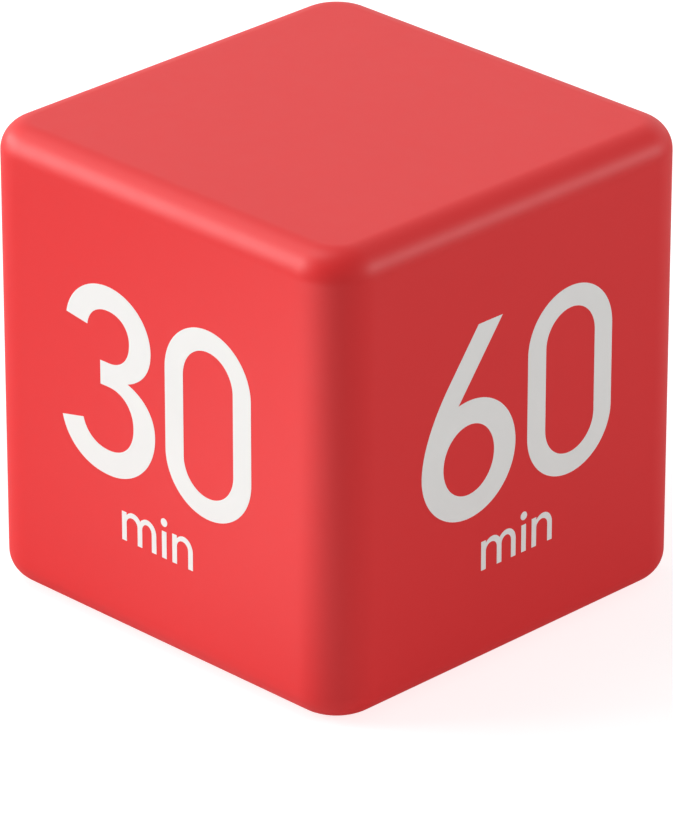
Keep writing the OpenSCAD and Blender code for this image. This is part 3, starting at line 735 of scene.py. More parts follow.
@dataclass
class Case:
    """The outer shell: a cube with wide upright edges, smaller edges at top and base, and an opening.

    Lengths are in millimetres. Each rib place is a side, as a turn in degrees, and a place along it.
    """

    corner_r: float = 6.7
    edge_r: float = 3.9
    wall: float = 2.2
    rim: float = 1.2
    rim_soft: float = 0.15
    rim_steps: int = 5
    corner_steps: int = 28
    edge_steps: int = 20
    hold: float = 0.04
    post_r: float = 3.2
    post_bore_r: float = 1.05
    post_bore_l: float = 10.0
    screw_head_r: float = 1.9
    rib_t: float = 1.2
    rib_h: float = 20.0
    rib_bite: float = 0.4
    rib_places: tuple[Pair, ...] = ((0, 6.2), (180, -6.2), (90, 4), (90, -4), (270, 20), (270, -20))
    half: float = field(init=False)
    height: float = field(init=False)
    stop_z: float = field(init=False)

    def __post_init__(self) -> None:
        """Reads the cube's sizes, and the height of the service panel's inner face, from the frame."""
        self.half, _, self.height = node_box("outer_shell")[1]
        self.stop_z = node_box("lcd_cell")[0][2]

    def build(self) -> None:
        """Makes the shell and the posts and ribs inside it."""
        shell = Draft()
        shell.grid(self.skin(), wrap_columns=True)
        make_piece(shell, "case_shell", CASE_RED, ["outer_shell"])
        make_piece(self.inside(), "case_posts_and_ribs", CASE_RED)

    def perimeter(self) -> tuple[Array, Array]:
        """Walks round the cube's plan.

        Each corner is a fixed anchor with a direction that turns by a quarter, and each side an anchor
        that moves from corner to corner with a fixed direction. Two anchors close to each end of a
        side keep the side's shading flat.

        Returns:
            The anchors and the outward directions, each a count by 2.
        """
        reach = self.half - self.corner_r
        quarter = np.arange(4)[:, None] * 90
        turns = np.radians(quarter + np.linspace(0, 90, self.corner_steps + 1))
        corners = reach * CORNER_SIGNS
        anchors = np.repeat(corners[:, None], turns.shape[1], 1)
        step = self.hold / (2 * reach)
        shares = np.array([step, 0.25, 0.5, 0.75, 1 - step])[None, :, None]
        walk = corners[:, None] * (1 - shares) + np.roll(corners, -1, 0)[:, None] * shares
        ahead = np.radians(np.repeat(quarter + 90, shares.shape[1], 1))
        angles = np.concatenate([turns, ahead], 1).reshape(-1)
        places = np.concatenate([anchors, walk], 1).reshape(-1, 2)
        return places, np.stack([np.cos(angles), np.sin(angles)], -1)

    def profile(self) -> Array:
        """Section of the shell, from the middle of its ceiling inside to the middle of its top.

        Returns:
            Rows of distance out from the plan's anchors, height, and a factor that is 0 where a row
            is drawn in to the middle of the cube.
        """
        out, low, high = self.corner_r - self.edge_r, self.edge_r, self.height - self.edge_r
        inner, steps, soft = self.edge_r - self.wall, self.edge_steps, self.rim_soft
        edge = self.corner_r - self.edge_r - self.rim
        ceiling, hold = self.height - self.wall, self.hold
        rows = np.concatenate([
            [[out - hold, ceiling]],
            arc((out, high), (inner, inner), 90, 0, steps),
            [[out + inner, high - hold], [out + inner, low + hold]],
            arc((out, low), (inner, inner), 0, -90, steps),
            [[out - hold, self.wall]],
            arc((edge + soft, self.wall - soft), (soft, soft), 90, 180, self.rim_steps),
            arc((edge + soft, soft), (soft, soft), 180, 270, self.rim_steps),
            [[out - hold, 0]],
            arc((out, low), (self.edge_r, self.edge_r), -90, 0, steps),
            [[self.corner_r, z] for z in (low + hold, self.height / 2, high - hold)],
            arc((out, high), (self.edge_r, self.edge_r), 0, 90, steps),
            [[out - hold, self.height]],
        ])
        ends = np.array([[0, ceiling, 0], [0, self.height, 0]])
        rows = np.column_stack([rows, np.ones(len(rows))])
        return np.concatenate([ends[:1], rows, ends[1:]])

    def skin(self) -> Array:
        """The shell's surface: anchor + out * direction round the plan, at each row of the section.

        Returns:
            A grid of rows of the section by places round the plan by 3.
        """
        anchors, directions = self.perimeter()
        out, z, factor = (column[:, None, None] for column in self.profile().T)
        plan = factor * (anchors[None] + out * directions[None])
        return np.concatenate([plan, z + np.zeros_like(plan[..., :1])], -1)

    def inside(self) -> Draft:
        """The two screw posts with their webs, and the ribs that stop the service panel.

        A post is a profile turned about its axis. A web or a rib is an outline carried along its side.

        Returns:
            Their shapes.
        """
        low, ceiling, face = self.stop_z, self.height - self.wall, self.half - self.wall
        spot = node_box("case_screws")[1][0] - self.screw_head_r
        bore_top, web_in, web_low = low + self.post_bore_l, spot + self.post_r, low + self.edge_r
        post = np.array([
            [bore_top, 0], [bore_top, self.post_bore_r], [low, self.post_bore_r],
            [low, self.post_r], [ceiling, self.post_r], [ceiling, 0],
        ])
        web = np.array([[web_in, web_low], [face, web_low], [face, ceiling], [web_in, ceiling]])
        rib_in, top = node_box("service_panel")[1][0] - self.rib_bite, low + self.rib_h
        rib = np.array([[rib_in, low], [face, low], [face, top], [rib_in, top - (face - rib_in)]])
        draft = Draft()
        for mirror in (-1, 1):
            draft.lathe(post, (mirror * spot, spot, 0), Axis.Z)
            draft.prism(self.upright(web, 0 if mirror > 0 else 180, mirror * spot), self.thick(0))
            draft.prism(self.upright(web, 90, -mirror * spot), self.thick(90))
        for turn, place in self.rib_places:
            draft.prism(self.upright(rib, turn, place), self.thick(turn))
        return draft

    def upright(self, outline: Array, turn: float, place: float) -> Array:
        """Stands an outline on a side: (out, height) goes out from the middle, turned about Z.

        Args:
            outline: distances out and heights.
            turn: the side, as a turn in degrees.
            place: the middle of the rib's thickness, along the side.

        Returns:
            The outline in the frame of the cube.
        """
        a = math.radians(turn)
        out, along = outline[:, 0], np.full(len(outline), place - self.rib_t / 2)
        x = out * math.cos(a) - along * math.sin(a)
        y = out * math.sin(a) + along * math.cos(a)
        return np.stack([x, y, outline[:, 1]], -1)

    def thick(self, turn: float) -> Array:
        """The thickness of a rib on a side, as a shift along that side."""
        a = math.radians(turn)
        return self.rib_t * np.array([-math.sin(a), math.cos(a), 0])


@dataclass(frozen=True)
class Stroke:
    """A flat stroke of a sign, between two edges that are sampled together, in millimetres."""

    left: Array
    right: Array
    closed: bool = False


def stroke_of(*stretches: tuple[Array, Array]) -> Stroke:
    """Joins stretches, each a left and a right edge with as many points, into one stroke."""
    left, right = ([edges[side][bool(i):] for i, edges in enumerate(stretches)] for side in (0, 1))
    return Stroke(np.concatenate(left), np.concatenate(right))


def moved(strokes: Sequence[Stroke], across: float) -> list[Stroke]:
    """Shifts strokes sideways."""
    shift = np.array([across, 0])
    return [Stroke(s.left + shift, s.right + shift, s.closed) for s in strokes]


@dataclass(frozen=True)
class Arch:
    """An arch of a small letter, from one stem to the foot of the next, in millimetres.

    The near and turn angles, in degrees, are where its first short stretch ends on its two edges.
    """

    start: float
    end: float
    stem: float = 0.82
    base: float = 13.78
    shoulder: float = 16.25
    wide: float = 1.6
    rise: float = 1.72
    hollow: float = 0.98
    near: float = 2.0
    turn: float = 150.0
    fine: int = 12

    def outer(self, start: float, stop: float) -> Array:
        """Part of the arch's outer edge, an ellipse that ends upright at the next stem."""
        return arc((self.end - self.wide, self.shoulder), (self.wide, self.rise), start, stop, self.fine)

    def inner(self, start: float, stop: float) -> Array:
        """Part of the arch's inner edge, half an ellipse from stem to stem.

        Args:
            start: first angle, in degrees.
            stop: last angle, in degrees.

        Returns:
            The points of the edge.
        """
        half = (self.end - self.start) / 2 - self.stem
        middle = self.start + self.stem + half
        return arc((middle, self.shoulder), (half, self.hollow), start, stop, self.fine)

    def meet(self) -> float:
        """The angle at which the outer edge stands over the right side of the stem that it starts from."""
        return math.degrees(math.acos((self.start + self.stem - self.end) / self.wide + 1))

    def span(self) -> list[tuple[Array, Array]]:
        """The arch from over its first stem to the foot of the next one.

        Returns:
            Its stretches, each a pair of edges.
        """
        meet, near = self.meet(), self.meet() - self.near
        return [
            (self.outer(meet, near), self.inner(180, self.turn)),
            (self.outer(near, 0), self.inner(self.turn, 0)),
            self.foot(),
        ]

    def foot(self) -> tuple[Array, Array]:
        """Both edges of the stem below the arch."""
        edges = (self.end, self.end - self.stem)
        return tuple(line((edge, self.shoulder), (edge, self.base), self.fine) for edge in edges)

    def letter(self, top: float) -> Stroke:
        """A stem with the arch on its right side, as one stroke.

        Args:
            top: height of the stem's top.

        Returns:
            The stroke.
        """
        side, n = self.start + self.stem, self.fine
        joint, low = self.outer(self.meet(), 0)[0], self.shoulder - self.hollow
        notch = low + self.hollow / 2
        return stroke_of(
            (line((self.start, self.base), (self.start, top), n), line((side, self.base), (side, low), n)),
            (line((self.start, top), (side, top), n), line((side, low), (side, notch), n)),
            (line((side, top), joint, n), line((side, notch), (side, self.shoulder), n)),
            *self.span(),
        )


@dataclass
class TimeMarks:
    """The times printed on the four upright sides: one or two figures over the word for minutes.

    The figures are drawn on a side, in millimetres across from its middle and up from the base. A
    lone five and the pair of one and five stand in the middle after a shift of their own.
    """

    ink_t: float = 0.02
    ink_sink: float = 0.03
    top: float = 47.7
    foot: float = 21.85
    fine: int = 24
    few: int = 5
    five_shift: float = -9.3
    fifteen_shift: float = -1.6
    half: float = field(init=False)

    def __post_init__(self) -> None:
        """Reads half the cube's side from the frame."""
        self.half = node_box("outer_shell")[1][0]

    def build(self) -> None:
        """Prints each side."""
        figures = {
            Side.FRONT: ("time_30", self.three() + self.nought()),
            Side.RIGHT: ("time_60", self.six() + self.nought()),
            Side.BACK: ("time_5", moved(self.five(), self.five_shift)),
            Side.LEFT: ("time_15", moved(self.one() + self.five(), self.fifteen_shift)),
        }
        for side, (name, strokes) in figures.items():
            draft = Draft()
            for stroke in strokes + self.minutes():
                self.print_stroke(draft, stroke, side)
            make_piece(draft, name, PRINT_WHITE)

    def print_stroke(self, draft: Draft, stroke: Stroke, side: Side) -> None:
        """Adds a stroke as a thin film: its two edges at the film's foot and at its top.

        Args:
            draft: the draft to add to.
            stroke: the stroke.
            side: the side that it is printed on.
        """
        rings = film_rings(stroke.left, stroke.right, -self.ink_sink, self.ink_t)
        grid = side.place(rings, self.half)
        if stroke.closed:
            draft.grid(grid, wrap_rows=True, wrap_columns=True)
        else:
            draft.closed_sweep(grid)

    def nought(self) -> list[Stroke]:
        """A nought: half ellipses above and below two straight sides.

        Returns:
            Its stroke.
        """
        upper, lower, count = 40.2, 29.2, 2 * self.fine
        edges = [
            np.concatenate([
                arc((across, upper), radii, 0, 180, count),
                arc((across, lower), radii, 180, 360, count),
            ])
            for across, radii in ((9.3, (7.54, 7.34)), (9.34, (4.37, 4.42)))
        ]
        return [Stroke(*edges, closed=True)]

    def three(self) -> list[Stroke]:
        """A three: one stroke round the upper bowl, into the waist and round the lower bowl.

        Returns:
            Its stroke.
        """
        n, few, full, upper, lower = self.fine, self.few, 0.93, (-8.3, 41.0), (-8.4, 29.7)
        left, middle, over, under = -9.8, 35.55, 37.3, 34.05
        waist_up, waist_down = (7.57, 6.0), (8.3, 6.27)
        return [stroke_of(
            (arc(upper, (7.57, 6.7), 171, 0, 2 * n), arc(upper, (3.75, 3.4), 172.5, 0, 2 * n, full)),
            (arc(upper, waist_up, 0, -50, n, full), arc(upper, (3.75, upper[1] - over), 0, -90, n, full)),
            (arc(upper, waist_up, -50, -61, few, full), line((upper[0], over), (left, over), few)),
            (arc(upper, waist_up, -61, -65.3, few, full), line((left, over), (left, middle), few)),
            (arc(lower, waist_down, 67.1, 63, few, full), line((left, middle), (left, under), few)),
            (arc(lower, waist_down, 63, 52, few, full), line((left, under), (lower[0], under), few)),
            (arc(lower, waist_down, 52, 0, n, full), arc(lower, (4.45, under - lower[1]), 90, 0, n, full)),
            (arc(lower, (8.3, 7.83), 0, -90, n), arc(lower, (4.45, 4.4), 0, -90, n, full)),
            (arc(lower, (8.64, 7.83), -90, -166, n, full), arc(lower, (4.75, 4.4), -90, -165, n, full)),
        )]

    def six(self) -> list[Stroke]:
        """A six: an oval bowl, and a slanting stem that runs into the bowl's left side.

        Returns:
            The strokes of the bowl and the stem.
        """
        n, bowl, outer, inner = self.fine, (-8.61, 29.85), (8.25, 8.03), (4.465, 4.75)
        ring = (arc(bowl, radii, 0, 360, 4 * n)[:-1] for radii in (outer, inner))
        foot, bend, top = (bowl[0] - outer[0], bowl[1]), (-12.2, 40.94), 47.64
        meet = arc(bowl, outer, 103.5, 180, 2 * n)
        stem = stroke_of(
            (line((-7.07, top), bend, n), line((-2.86, top), meet[0], n)),
            (bezier([bend, (-14.6, 37.8), (foot[0], 33.6), foot], 2 * n), meet),
        )
        return [Stroke(*ring, closed=True), stem]

    def one(self) -> list[Stroke]:
        """A one: a short flag that turns into an upright stem.

        Returns:
            Its stroke.
        """
        few, top, foot = self.few, self.top, self.foot
        tip, stem_l, stem_r, armpit, notch = -11.6, -6.3, -2.6, 43.8, 43.4
        return [stroke_of(
            (line((tip, notch), (stem_l, top), few), line((tip, 39.6), (stem_l, armpit), few)),
            (line((stem_l, top), (stem_r, top), few), line((stem_l, armpit), (stem_l, notch), few)),
            (line((stem_r, top), (stem_r, foot), few), line((stem_l, notch), (stem_l, foot), few)),
        )]

    def five(self) -> list[Stroke]:
        """A five: a bar, a short stem and a round bowl, in one stroke from the bar's right end.

        Returns:
            Its stroke.
        """
        n, few, bowl, end = self.fine, self.few, (9.0, 30.1), 16.2
        bar, kink, wide, narrow = 44.3, (1.9, 33.6), (8.1, 8.4), (4.35, 4.85)
        stem_l, stem_r, tail = 2.6, 5.85, -166
        outer, inner = arc(bowl, wide, 117, 109, few), arc(bowl, narrow, 141, 0, 2 * n)
        return [stroke_of(
            (line((end, self.top), (stem_l, self.top), few), line((end, bar), (stem_r, bar), few)),
            (line((stem_l, self.top), kink, few), line((stem_r, bar), outer[0], few)),
            (line(kink, inner[0], few), outer),
            (inner, arc(bowl, wide, 109, 0, 2 * n)),
            (arc(bowl, (4.35, 4.75), 0, tail, 2 * n), arc(bowl, (8.1, 8.25), 0, tail, 2 * n)),
        )]

    def minutes(self) -> list[Stroke]:
        """The short word for minutes: round-shouldered letters with even stems.

        Returns:
            The strokes of its letters.
        """
        top, i_top, dot, dot_r = 17.75, 17.5, (1.33, 18.72), (0.57, 0.57)
        m_left, m_middle, m_right, n_left, n_right = -6.26, -2.64, -0.1, 2.77, 6.42
        first, second = Arch(m_left, m_middle), Arch(m_middle - Arch.stem, m_right)
        notch = math.degrees(math.acos((second.end - first.end) / 2 / Arch.wide))
        m_end = stroke_of((second.outer(180 - notch, second.meet()), first.outer(notch, 0)), *second.span())
        sides = [dot[0] + side * Arch.stem / 2 for side in (-1, 1)]
        i_stem = Stroke(*(line((side, Arch.base), (side, i_top), self.few) for side in sides))
        i_dot = Stroke(arc(dot, dot_r, 0, 180, self.fine), arc(dot, dot_r, 360, 180, self.fine))
        return [first.letter(top), m_end, i_stem, i_dot, Arch(n_left, n_right).letter(top)]


@dataclass
class Display:
    """What shows behind the service face's window: the dim segments of a display that is off."""

    digit_w: float = 3.4
    digit_h: float = 6.4
    digit_places: tuple[float, ...] = (-1.5, -0.5, 0.5, 1.5)
    segment_w: float = 0.7
    segment_gap: float = 0.12
    pitch: float = 5.2
    colon_gap: float = 1.6
    dot_rise: float = 1.28
    dot_sides: int = 24
    film_t: float = 0.03
    lift: float = 0.02
    window_r: float = 2.0
    view_r: float = 1.0
    corner_points: int = 9
    border_inset: float = 0.1

    def build(self) -> None:
        """Makes the window's border, then the four digits and the two dots between them."""
        self.border()
        low, high = node_box("lcd_polariser")
        middle, r = (low + high) / 2, self.segment_w / 2
        draft = Draft()
        for place in self.digit_places:
            across = place * self.pitch + math.copysign(self.colon_gap / 2, place)
            for outline in self.digit():
                self.lay(draft, outline + np.array([across, 0]), middle, low[2])
        for rise in (-self.dot_rise, self.dot_rise):
            dot = arc((0, rise), (r, r), 0, 360, self.dot_sides + 1)[:-1]
            self.lay(draft, dot, middle, low[2])
        make_piece(draft, "display_segments", SEGMENT_GREY)

    def border(self) -> None:
        """Makes the border printed on the window's back: a thin frame round the view of the display."""
        outer = self.oblong("display_window", self.window_r, self.border_inset)
        inner = self.oblong("lcd_polariser", self.view_r, 0.0)
        back = node_box("display_window")[1][2] - self.lift
        rings = film_rings(outer, inner, back - self.film_t, back)
        draft = Draft()
        draft.grid(rings, wrap_rows=True, wrap_columns=True)
        make_piece(draft, "window_border", PRINT_BLACK)

    def oblong(self, node: str, corner_r: float, inset: float) -> Array:
        """A node's outline seen from below, with its corners rounded, drawn in by an inset.

        Args:
            node: the node.
            corner_r: radius of its corners.
            inset: how far the outline is drawn in.

        Returns:
            The points of the outline.
        """
        low, high = (corner[:2] for corner in node_box(node))
        middle, reach, r = (low + high) / 2, (high - low) / 2 - corner_r, corner_r - inset
        return np.concatenate([
            arc(middle + reach * sign, (r, r), 90 * quarter, 90 * quarter + 90, self.corner_points)
            for quarter, sign in enumerate(CORNER_SIGNS)
        ])

    def digit(self) -> list[Array]:
        """Seven segments: bars with pointed ends, three level and four upright.

        Returns:
            Their outlines.
        """
        w, h, t = self.digit_w / 2, self.digit_h / 2, self.segment_w / 2
        flat = self.bar(self.digit_w - 2 * self.segment_gap, t)
        tall = self.bar(h - 2 * self.segment_gap, t)[:, ::-1]
        level = [flat + np.array([0, rise]) for rise in (-h, 0, h)]
        upright = [tall + np.array([side * w, rise * h / 2]) for side in (-1, 1) for rise in (-1, 1)]
        return level + upright

    def bar(self, length: float, t: float) -> Array:
        """A bar along the first axis, pointed at both ends."""
        end = length / 2
        return np.array([[-end, 0], [-end + t, t], [end - t, t], [end, 0], [end - t, -t], [-end + t, -t]])

    def lay(self, draft: Draft, outline: Array, middle: Array, z: float) -> None:
        """Lays an outline on the film's outer side, read from below with the front upwards.

        Args:
            draft: the draft to add to.
            outline: the outline, drawn about the display's middle.
            middle: the display's middle.
            z: height of the film's outer side.
        """
        across, up = outline.T
        places = [middle[0] + across, middle[1] - up, np.full(len(outline), z - self.lift)]
        draft.prism(np.stack(places, -1), (0, 0, -self.film_t))


@dataclass
class BatteryBay:
    """Two cells, the contact springs and the leads that go from the contacts to the board."""

    button_r: float = 1.9
    button_l: float = 1.0
    shoulder: float = 0.6
    shoulder_steps: int = 9
    sleeve_gap: float = 0.02
    end_r: float = 3.6
    end_dish: float = 0.25
    dish_rim: Pair = (0.9, 0.5)
    end_sink: float = 0.05
    end_hold: float = 0.3
    cap_sink: float = 0.08
    cap_soft: float = 0.2
    wire_r: float = 0.25
    wire_sides: int = 12
    spring_base_r: float = 4.2
    spring_tip_r: float = 1.8
    spring_turns: int = 3
    spring_steps: int = 40
    lead_r: float = 0.6
    lead_steps: int = 8
    lead_guide: Triple = (1.0, 0.15, 0.1)
    tab_middle: float = 1.2
    lead_land: float = 2.2

    def build(self) -> None:
        """Makes the cells, springs and leads."""
        self.cell("battery_front", Facing.RIGHT)
        self.cell("battery_rear", Facing.LEFT)
        self.springs()
        self.leads()

    def cell(self, node: str, facing: Facing) -> None:
        """Makes a cell that lies along X: its sleeve, and the steel of both ends.

        Each is a profile, measured from the negative end, revolved about the cell's axis.

        Args:
            node: the CAD node that it replaces.
            facing: the way that its positive end faces.
        """
        low, high = node_box(node)
        middle, r = (low + high) / 2, (high[2] - low[2]) / 2
        length = high[0] - low[0]
        body = length - self.button_l
        negative = low[0] if facing is Facing.RIGHT else high[0]
        start = np.array([negative, middle[1], middle[2]])
        turned = np.array([facing.value, 1])
        wrap, ends = Draft(), Draft()
        wrap.lathe(self.sleeve(body, r) * turned, start, Axis.X)
        ends.lathe(self.steel(body, length) * turned, start, Axis.X)
        piece = make_piece(wrap, f"{node}_sleeve", CELL_WRAP, [node])
        make_piece(ends, f"{node}_ends", CONTACT_NICKEL, [node])
        places = np.zeros(3 * len(piece.data.vertices), np.float32)
        piece.data.vertices.foreach_get("co", places)
        share = np.abs(places[::3] - negative * MM) / (length * MM)
        along = piece.data.attributes.new(ALONG, "FLOAT", "POINT")
        along.data.foreach_set("value", share.astype(np.float32))

    def sleeve(self, body: float, r: float) -> Array:
        """The sleeve's profile: a straight side with rolled shoulders, and a bore for the steel.

        Args:
            body: length of the cell without its button.
            r: radius of the cell.

        Returns:
            Distances along the cell and radii.
        """
        bore, soft, steps = self.end_r + self.sleeve_gap, self.shoulder, self.shoulder_steps
        return np.concatenate([
            [[0, bore]],
            arc((soft, r - soft), (-soft, soft), 0, 90, steps),
            line((body * 0.25, r), (body * 0.75, r), 3),
            arc((body - soft, r - soft), (soft, soft), 90, 0, steps),
            [[body, bore], [0, bore]],
        ])

    def steel(self, body: float, length: float) -> Array:
        """The steel's profile: a dished negative end, a plain middle and a positive button.

        Args:
            body: length of the cell without its button.
            length: length of the whole cell.

        Returns:
            Distances along the cell and radii.
        """
        r, button, sink, hold, soft = self.end_r, self.button_r, self.end_sink, self.end_hold, self.cap_soft
        dish_in, dish_out = (r - width for width in self.dish_rim)
        cap = body - self.cap_sink
        return np.concatenate([
            [[self.end_dish, 0], [self.end_dish, dish_in], [sink, dish_out], [sink, r], [hold, r]],
            [[body - hold, r], [cap, r], [cap, button + hold]],
            arc((cap + soft, button + soft), (-soft, -soft), 0, 90, 4),
            arc((length - soft, button - soft), (soft, soft), 90, 0, 5),
            [[length, 0]],
        ])

    def coil(self, length: float) -> Array:
        """The middle line of a spring, from its plate along X to its tip.

        It is a helix whose radius shrinks evenly to its tip, with a short straight stub at each end.

        Args:
            length: distance from the plate to the tip.

        Returns:
            The points of the line.
        """
        share = np.linspace(0, 1, self.spring_steps * self.spring_turns)
        turn = np.pi / 2 + 2 * np.pi * self.spring_turns * share
        r = self.spring_base_r + (self.spring_tip_r - self.spring_base_r) * share
        stub = 2 * self.wire_r
        x = stub + (length - 2 * stub) * share
        helix = np.stack([x, r * np.cos(turn), r * np.sin(turn)], -1)
        first, last = helix[0] * ACROSS_X, helix[-1] + np.array([stub, 0, 0])
        return np.concatenate([[first], helix, [last]])

    def springs(self) -> None:
        """Makes both contact springs: a wire carried along each spring's middle line."""
        draft = Draft()
        ends = (
            ("bridge_contact", "battery_front", Facing.RIGHT),
            ("negative_contact", "battery_rear", Facing.LEFT),
        )
        for plate, cell, facing in ends:
            side, sign = int(facing is Facing.RIGHT), facing.value
            start, tip = node_box(plate)[side][0], node_box(cell)[1 - side][0]
            middle = np.mean(node_box(cell), 0)
            path = self.coil(abs(tip - start)) * np.array([sign, sign, 1])
            place = np.array([start, middle[1], middle[2]])
            draft.tube(path + place, path * ACROSS_X, self.wire_r, self.wire_sides)
        make_piece(draft, "contact_springs", CONTACT_NICKEL, ["battery_springs"])

    def leads(self) -> None:
        """Makes the two insulated leads, along the routes given for the CAD model."""
        tab_x = node_box("positive_contact")[0][0]
        tab_z = node_box("positive_contact")[1][2] - self.tab_middle
        board = node_box("circuit_board")[1]
        land_x, land_z = board[0] - self.lead_land, board[2]
        front_y = np.mean(node_box("battery_front"), 0)[1]
        rear_y = np.mean(node_box("battery_rear"), 0)[1]
        red = np.array([
            [tab_x, front_y, tab_z], [tab_x - 1.5, front_y, tab_z], [tab_x - 2.8, -17, 16.4],
            [tab_x - 3.4, -14, 16.2], [tab_x - 3.4, -10, 16], [tab_x - 3.2, -6, 16],
            [tab_x - 2.8, -2, 16.2], [tab_x - 2, 2, 16.2], [land_x - 0.4, 6, 16],
            [land_x, 9.6, 14.8], [land_x, 10.8, 12.8], [land_x, 10.8, land_z],
        ])
        black = np.array([
            [tab_x, rear_y, tab_z], [tab_x - 1.5, rear_y, tab_z], [tab_x - 1.8, -5.4, 16.6],
            [tab_x - 1.4, -2, 17.8], [tab_x - 1, 2, 18.6], [land_x + 0.2, 6, 18.6],
            [land_x + 0.2, 10, 17.6], [land_x, 13.2, 15.2], [land_x, 14.2, 13], [land_x, 14.2, land_z],
        ])
        for name, route, finish in (("red_lead", red, LEAD_RED), ("black_lead", black, LEAD_BLACK)):
            path = smooth_route(route, self.lead_steps)
            draft = Draft()
            draft.tube(path, np.zeros_like(path) + np.array(self.lead_guide), self.lead_r)
            make_piece(draft, f"{name}_wire", finish, [name])


@dataclass(frozen=True)
class Lamp:
    """A flat lamp that faces the cube: its place, its size and how bright its face is.

    Angles are in degrees, lengths in millimetres, and a glow of 1 is white. One that is only mirrored
    shows in the gloss of the cube and casts no other light.
    """

    name: str
    azimuth: float
    elevation: float
    distance: float
    width: float
    height: float
    glow: float
    only_mirrored: bool = False


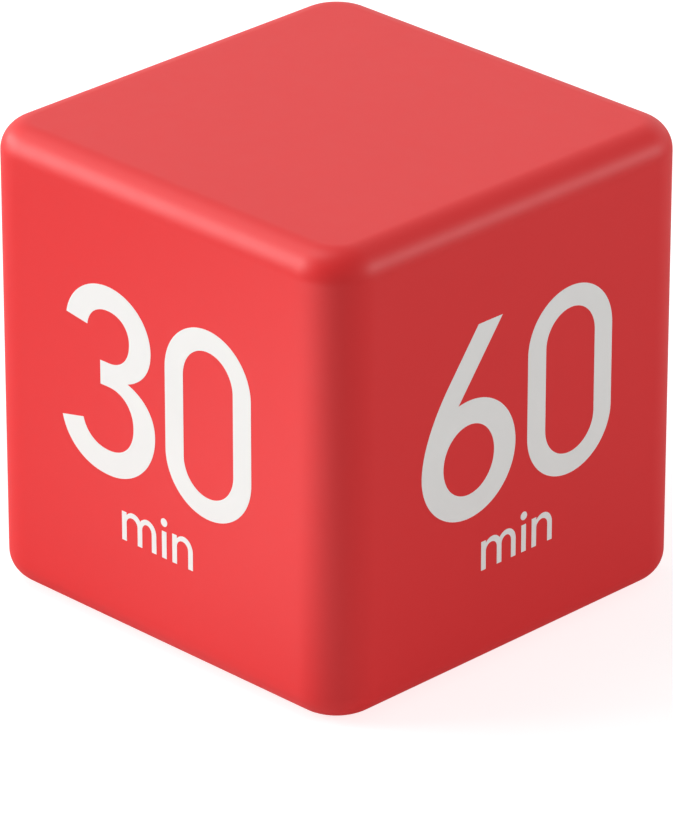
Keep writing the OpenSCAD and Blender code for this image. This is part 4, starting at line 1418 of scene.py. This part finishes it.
@dataclass
class Studio:
    """The camera at the photograph's angle, a pale floor, soft lamps and the white surround."""

    photo_height: int = 817
    focal_px: float = 7033.9
    azimuth: float = 45.0
    elevation: float = 25.031
    distance: float = 885.833
    turn_z: float = 31.5
    aim_z: float = 23.28
    sensor: float = 36.0
    floor_half: float = 2500.0
    floor_z: float = -0.1
    floor_grey: float = 0.5
    floor_cast: float = 0.37
    floor_glow: float = 0.77
    floor_sheen: float = 0.04
    # A patch of floor that glows only in reflections: a painted reflection on the cube's front edge and
    # lower faces.
    patch_sheen: float = 5.4
    patch_centre: Pair = (10.0, -140.0)
    patch_r: float = 112.0
    sky_seen: float = 1.0
    sky_sheen: float = 1.14
    fill: float = 0.26
    lamps: tuple[Lamp, ...] = (
        Lamp("key_panel", 311, 22, 1100, 560, 560, glow=8.6),
        Lamp("side_panel", 130, 16, 1000, 360, 300, glow=7.35),
        Lamp("top_panel", 292, 64, 1100, 600, 600, glow=3.3),
        Lamp("corner_panel", 282, 17, 1000, 160, 160, glow=25.0, only_mirrored=True),
    )

    def build(self) -> None:
        """Makes the camera, the floor, the surround and the lamps."""
        self.camera()
        self.floor()
        self.surround()
        for lamp in self.lamps:
            self.hang(lamp)

    def toward(self, azimuth: float, elevation: float) -> Vector:
        """The direction from the cube to a place round it; azimuth 0 is in front and 90 to the right."""
        a, e = math.radians(azimuth), math.radians(elevation)
        return Vector((math.sin(a) * math.cos(e), -math.cos(a) * math.cos(e), math.sin(e)))

    def camera(self) -> None:
        """Puts the camera where the photograph was taken from."""
        data = bpy.data.cameras.new("photo_camera")
        data.sensor_width = self.sensor
        data.lens = self.focal_px / self.photo_height * self.sensor
        camera = put_in_scene("photo_camera", data)
        place = Vector((0, 0, self.turn_z)) + self.toward(self.azimuth, self.elevation) * self.distance
        camera.location = place * MM
        camera.rotation_euler = (Vector((0, 0, self.aim_z)) - place).to_track_quat("-Z", "Y").to_euler()
        bpy.context.scene.camera = camera

    def hang(self, lamp: Lamp) -> None:
        """Makes a lamp, in its place and turned to the cube.

        Args:
            lamp: the lamp.
        """
        data = bpy.data.lights.new(lamp.name, "AREA")
        data.shape = "RECTANGLE"
        data.size, data.size_y = lamp.width * MM, lamp.height * MM
        data.energy = lamp.glow * math.pi * data.size * data.size_y
        made = put_in_scene(lamp.name, data)
        facing = self.toward(lamp.azimuth, lamp.elevation)
        made.location = (Vector((0, 0, self.turn_z)) + facing * lamp.distance) * MM
        made.rotation_euler = facing.to_track_quat("Z", "Y").to_euler()
        made.visible_diffuse = not lamp.only_mirrored

    def level(
        self, tree: bpy.types.NodeTree, cast: float, seen: float, mirrored: float
    ) -> tuple[Socket, Socket]:
        """A strength that depends on how the light goes on.

        It is cast + any * (seen - cast) + glossy * (mirrored - seen), where any is 1 for what the camera,
        a reflection or a clear piece shows, and glossy is 1 for a reflection.

        Args:
            tree: the node tree to add to.
            cast: strength of the light that falls on things.
            seen: strength that the camera sees, straight or through a clear piece.
            mirrored: strength in a reflection.

        Returns:
            The sockets of the strength and of glossy.
        """
        path = new_node(tree, "LightPath").outputs
        glossy = path["Is Glossy Ray"]
        either = self.reckon(tree, "MAXIMUM", path["Is Camera Ray"], path["Is Transmission Ray"])
        shown = self.reckon(tree, "MAXIMUM", either, glossy)
        plain = self.reckon(tree, "MULTIPLY_ADD", shown, seen - cast, cast)
        return self.reckon(tree, "MULTIPLY_ADD", glossy, mirrored - seen, plain), glossy

    def reckon(self, tree: bpy.types.NodeTree, operation: str, *values: Socket | float) -> Socket:
        """Adds a Math node.

        Args:
            tree: the node tree to add to.
            operation: what the node does.
            values: the sockets and numbers that it does it to.

        Returns:
            The socket of its result.
        """
        node = new_node(tree, "Math")
        node.operation = operation
        for socket, value in zip(node.inputs, values):
            if isinstance(value, float):
                socket.default_value = value
            else:
                tree.links.new(value, socket)
        return node.outputs["Value"]

    def floor(self) -> None:
        """Makes the floor: pale where light falls on it, lifted to white where it is seen, and with a patch
        in front that glows only in reflections, a painted reflection on the cube's lower front.
        """
        edge, z = self.floor_half, self.floor_z
        draft = Draft()
        draft.grid(np.array([[[-edge, -edge, z], [edge, -edge, z]], [[-edge, edge, z], [edge, edge, z]]]))
        floor = put_in_scene("floor", draft.mesh("floor"))
        material = bpy.data.materials.new("floor_white")
        material.use_nodes = True
        tree = material.node_tree
        tree.nodes.clear()
        matt = new_node(tree, "BsdfDiffuse", {"Color": (self.floor_grey,) * 3 + (1,)})
        glow, both, output = (new_node(tree, kind) for kind in ("Emission", "AddShader", "OutputMaterial"))
        strength, glossy = self.level(tree, self.floor_cast, self.floor_glow, self.floor_sheen)
        # The patch glows only in reflections: a painted reflection on the cube's front edge and lower
        # faces.
        patch = self.reckon(tree, "MULTIPLY", self.patch(tree), glossy)
        total = self.reckon(tree, "MULTIPLY_ADD", patch, self.patch_sheen, strength)
        tree.links.new(total, glow.inputs["Strength"])
        tree.links.new(matt.outputs["BSDF"], both.inputs[0])
        tree.links.new(glow.outputs["Emission"], both.inputs[1])
        tree.links.new(both.outputs["Shader"], output.inputs["Surface"])
        floor.data.materials.append(material)

    def patch(self, tree: bpy.types.NodeTree) -> Socket:
        """A value that falls evenly from 1 at the middle of the floor's glowing patch to 0 at its edge; the
        patch is a painted reflection.

        Args:
            tree: the node tree to add to.

        Returns:
            The socket that carries the value.
        """
        shift = [-c / self.patch_r for c in (*self.patch_centre, 0)]
        fit = new_node(tree, "Mapping", {"Location": shift, "Scale": [1 / (self.patch_r * MM)] * 3})
        place, fade = new_node(tree, "TexCoord"), new_node(tree, "TexGradient")
        fade.gradient_type = "SPHERICAL"
        tree.links.new(place.outputs["Object"], fit.inputs["Vector"])
        tree.links.new(fit.outputs["Vector"], fade.inputs["Vector"])
        return fade.outputs["Fac"]

    def surround(self) -> None:
        """Makes the world: an even fill of light that looks white to the camera and in reflections."""
        world = bpy.data.worlds.new("surround")
        bpy.context.scene.world = world
        world.use_nodes = True
        tree = world.node_tree
        tree.nodes.clear()
        light = new_node(tree, "Background", {"Color": (1, 1, 1, 1)})
        strength = self.level(tree, self.fill, self.sky_seen, self.sky_sheen)[0]
        tree.links.new(strength, light.inputs["Strength"])
        output = new_node(tree, "OutputWorld")
        tree.links.new(light.outputs["Background"], output.inputs["Surface"])
        bpy.context.scene.view_settings.view_transform = "Standard"


def main() -> None:
    """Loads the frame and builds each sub-assembly in order."""
    logging.basicConfig(level=logging.INFO, format="%(name)s: %(message)s")
    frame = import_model()
    dress_nodes(frame["nodes"])
    Case().build()
    TimeMarks().build()
    Display().build()
    BatteryBay().build()
    Studio().build()


if __name__ == "__main__":
    main()
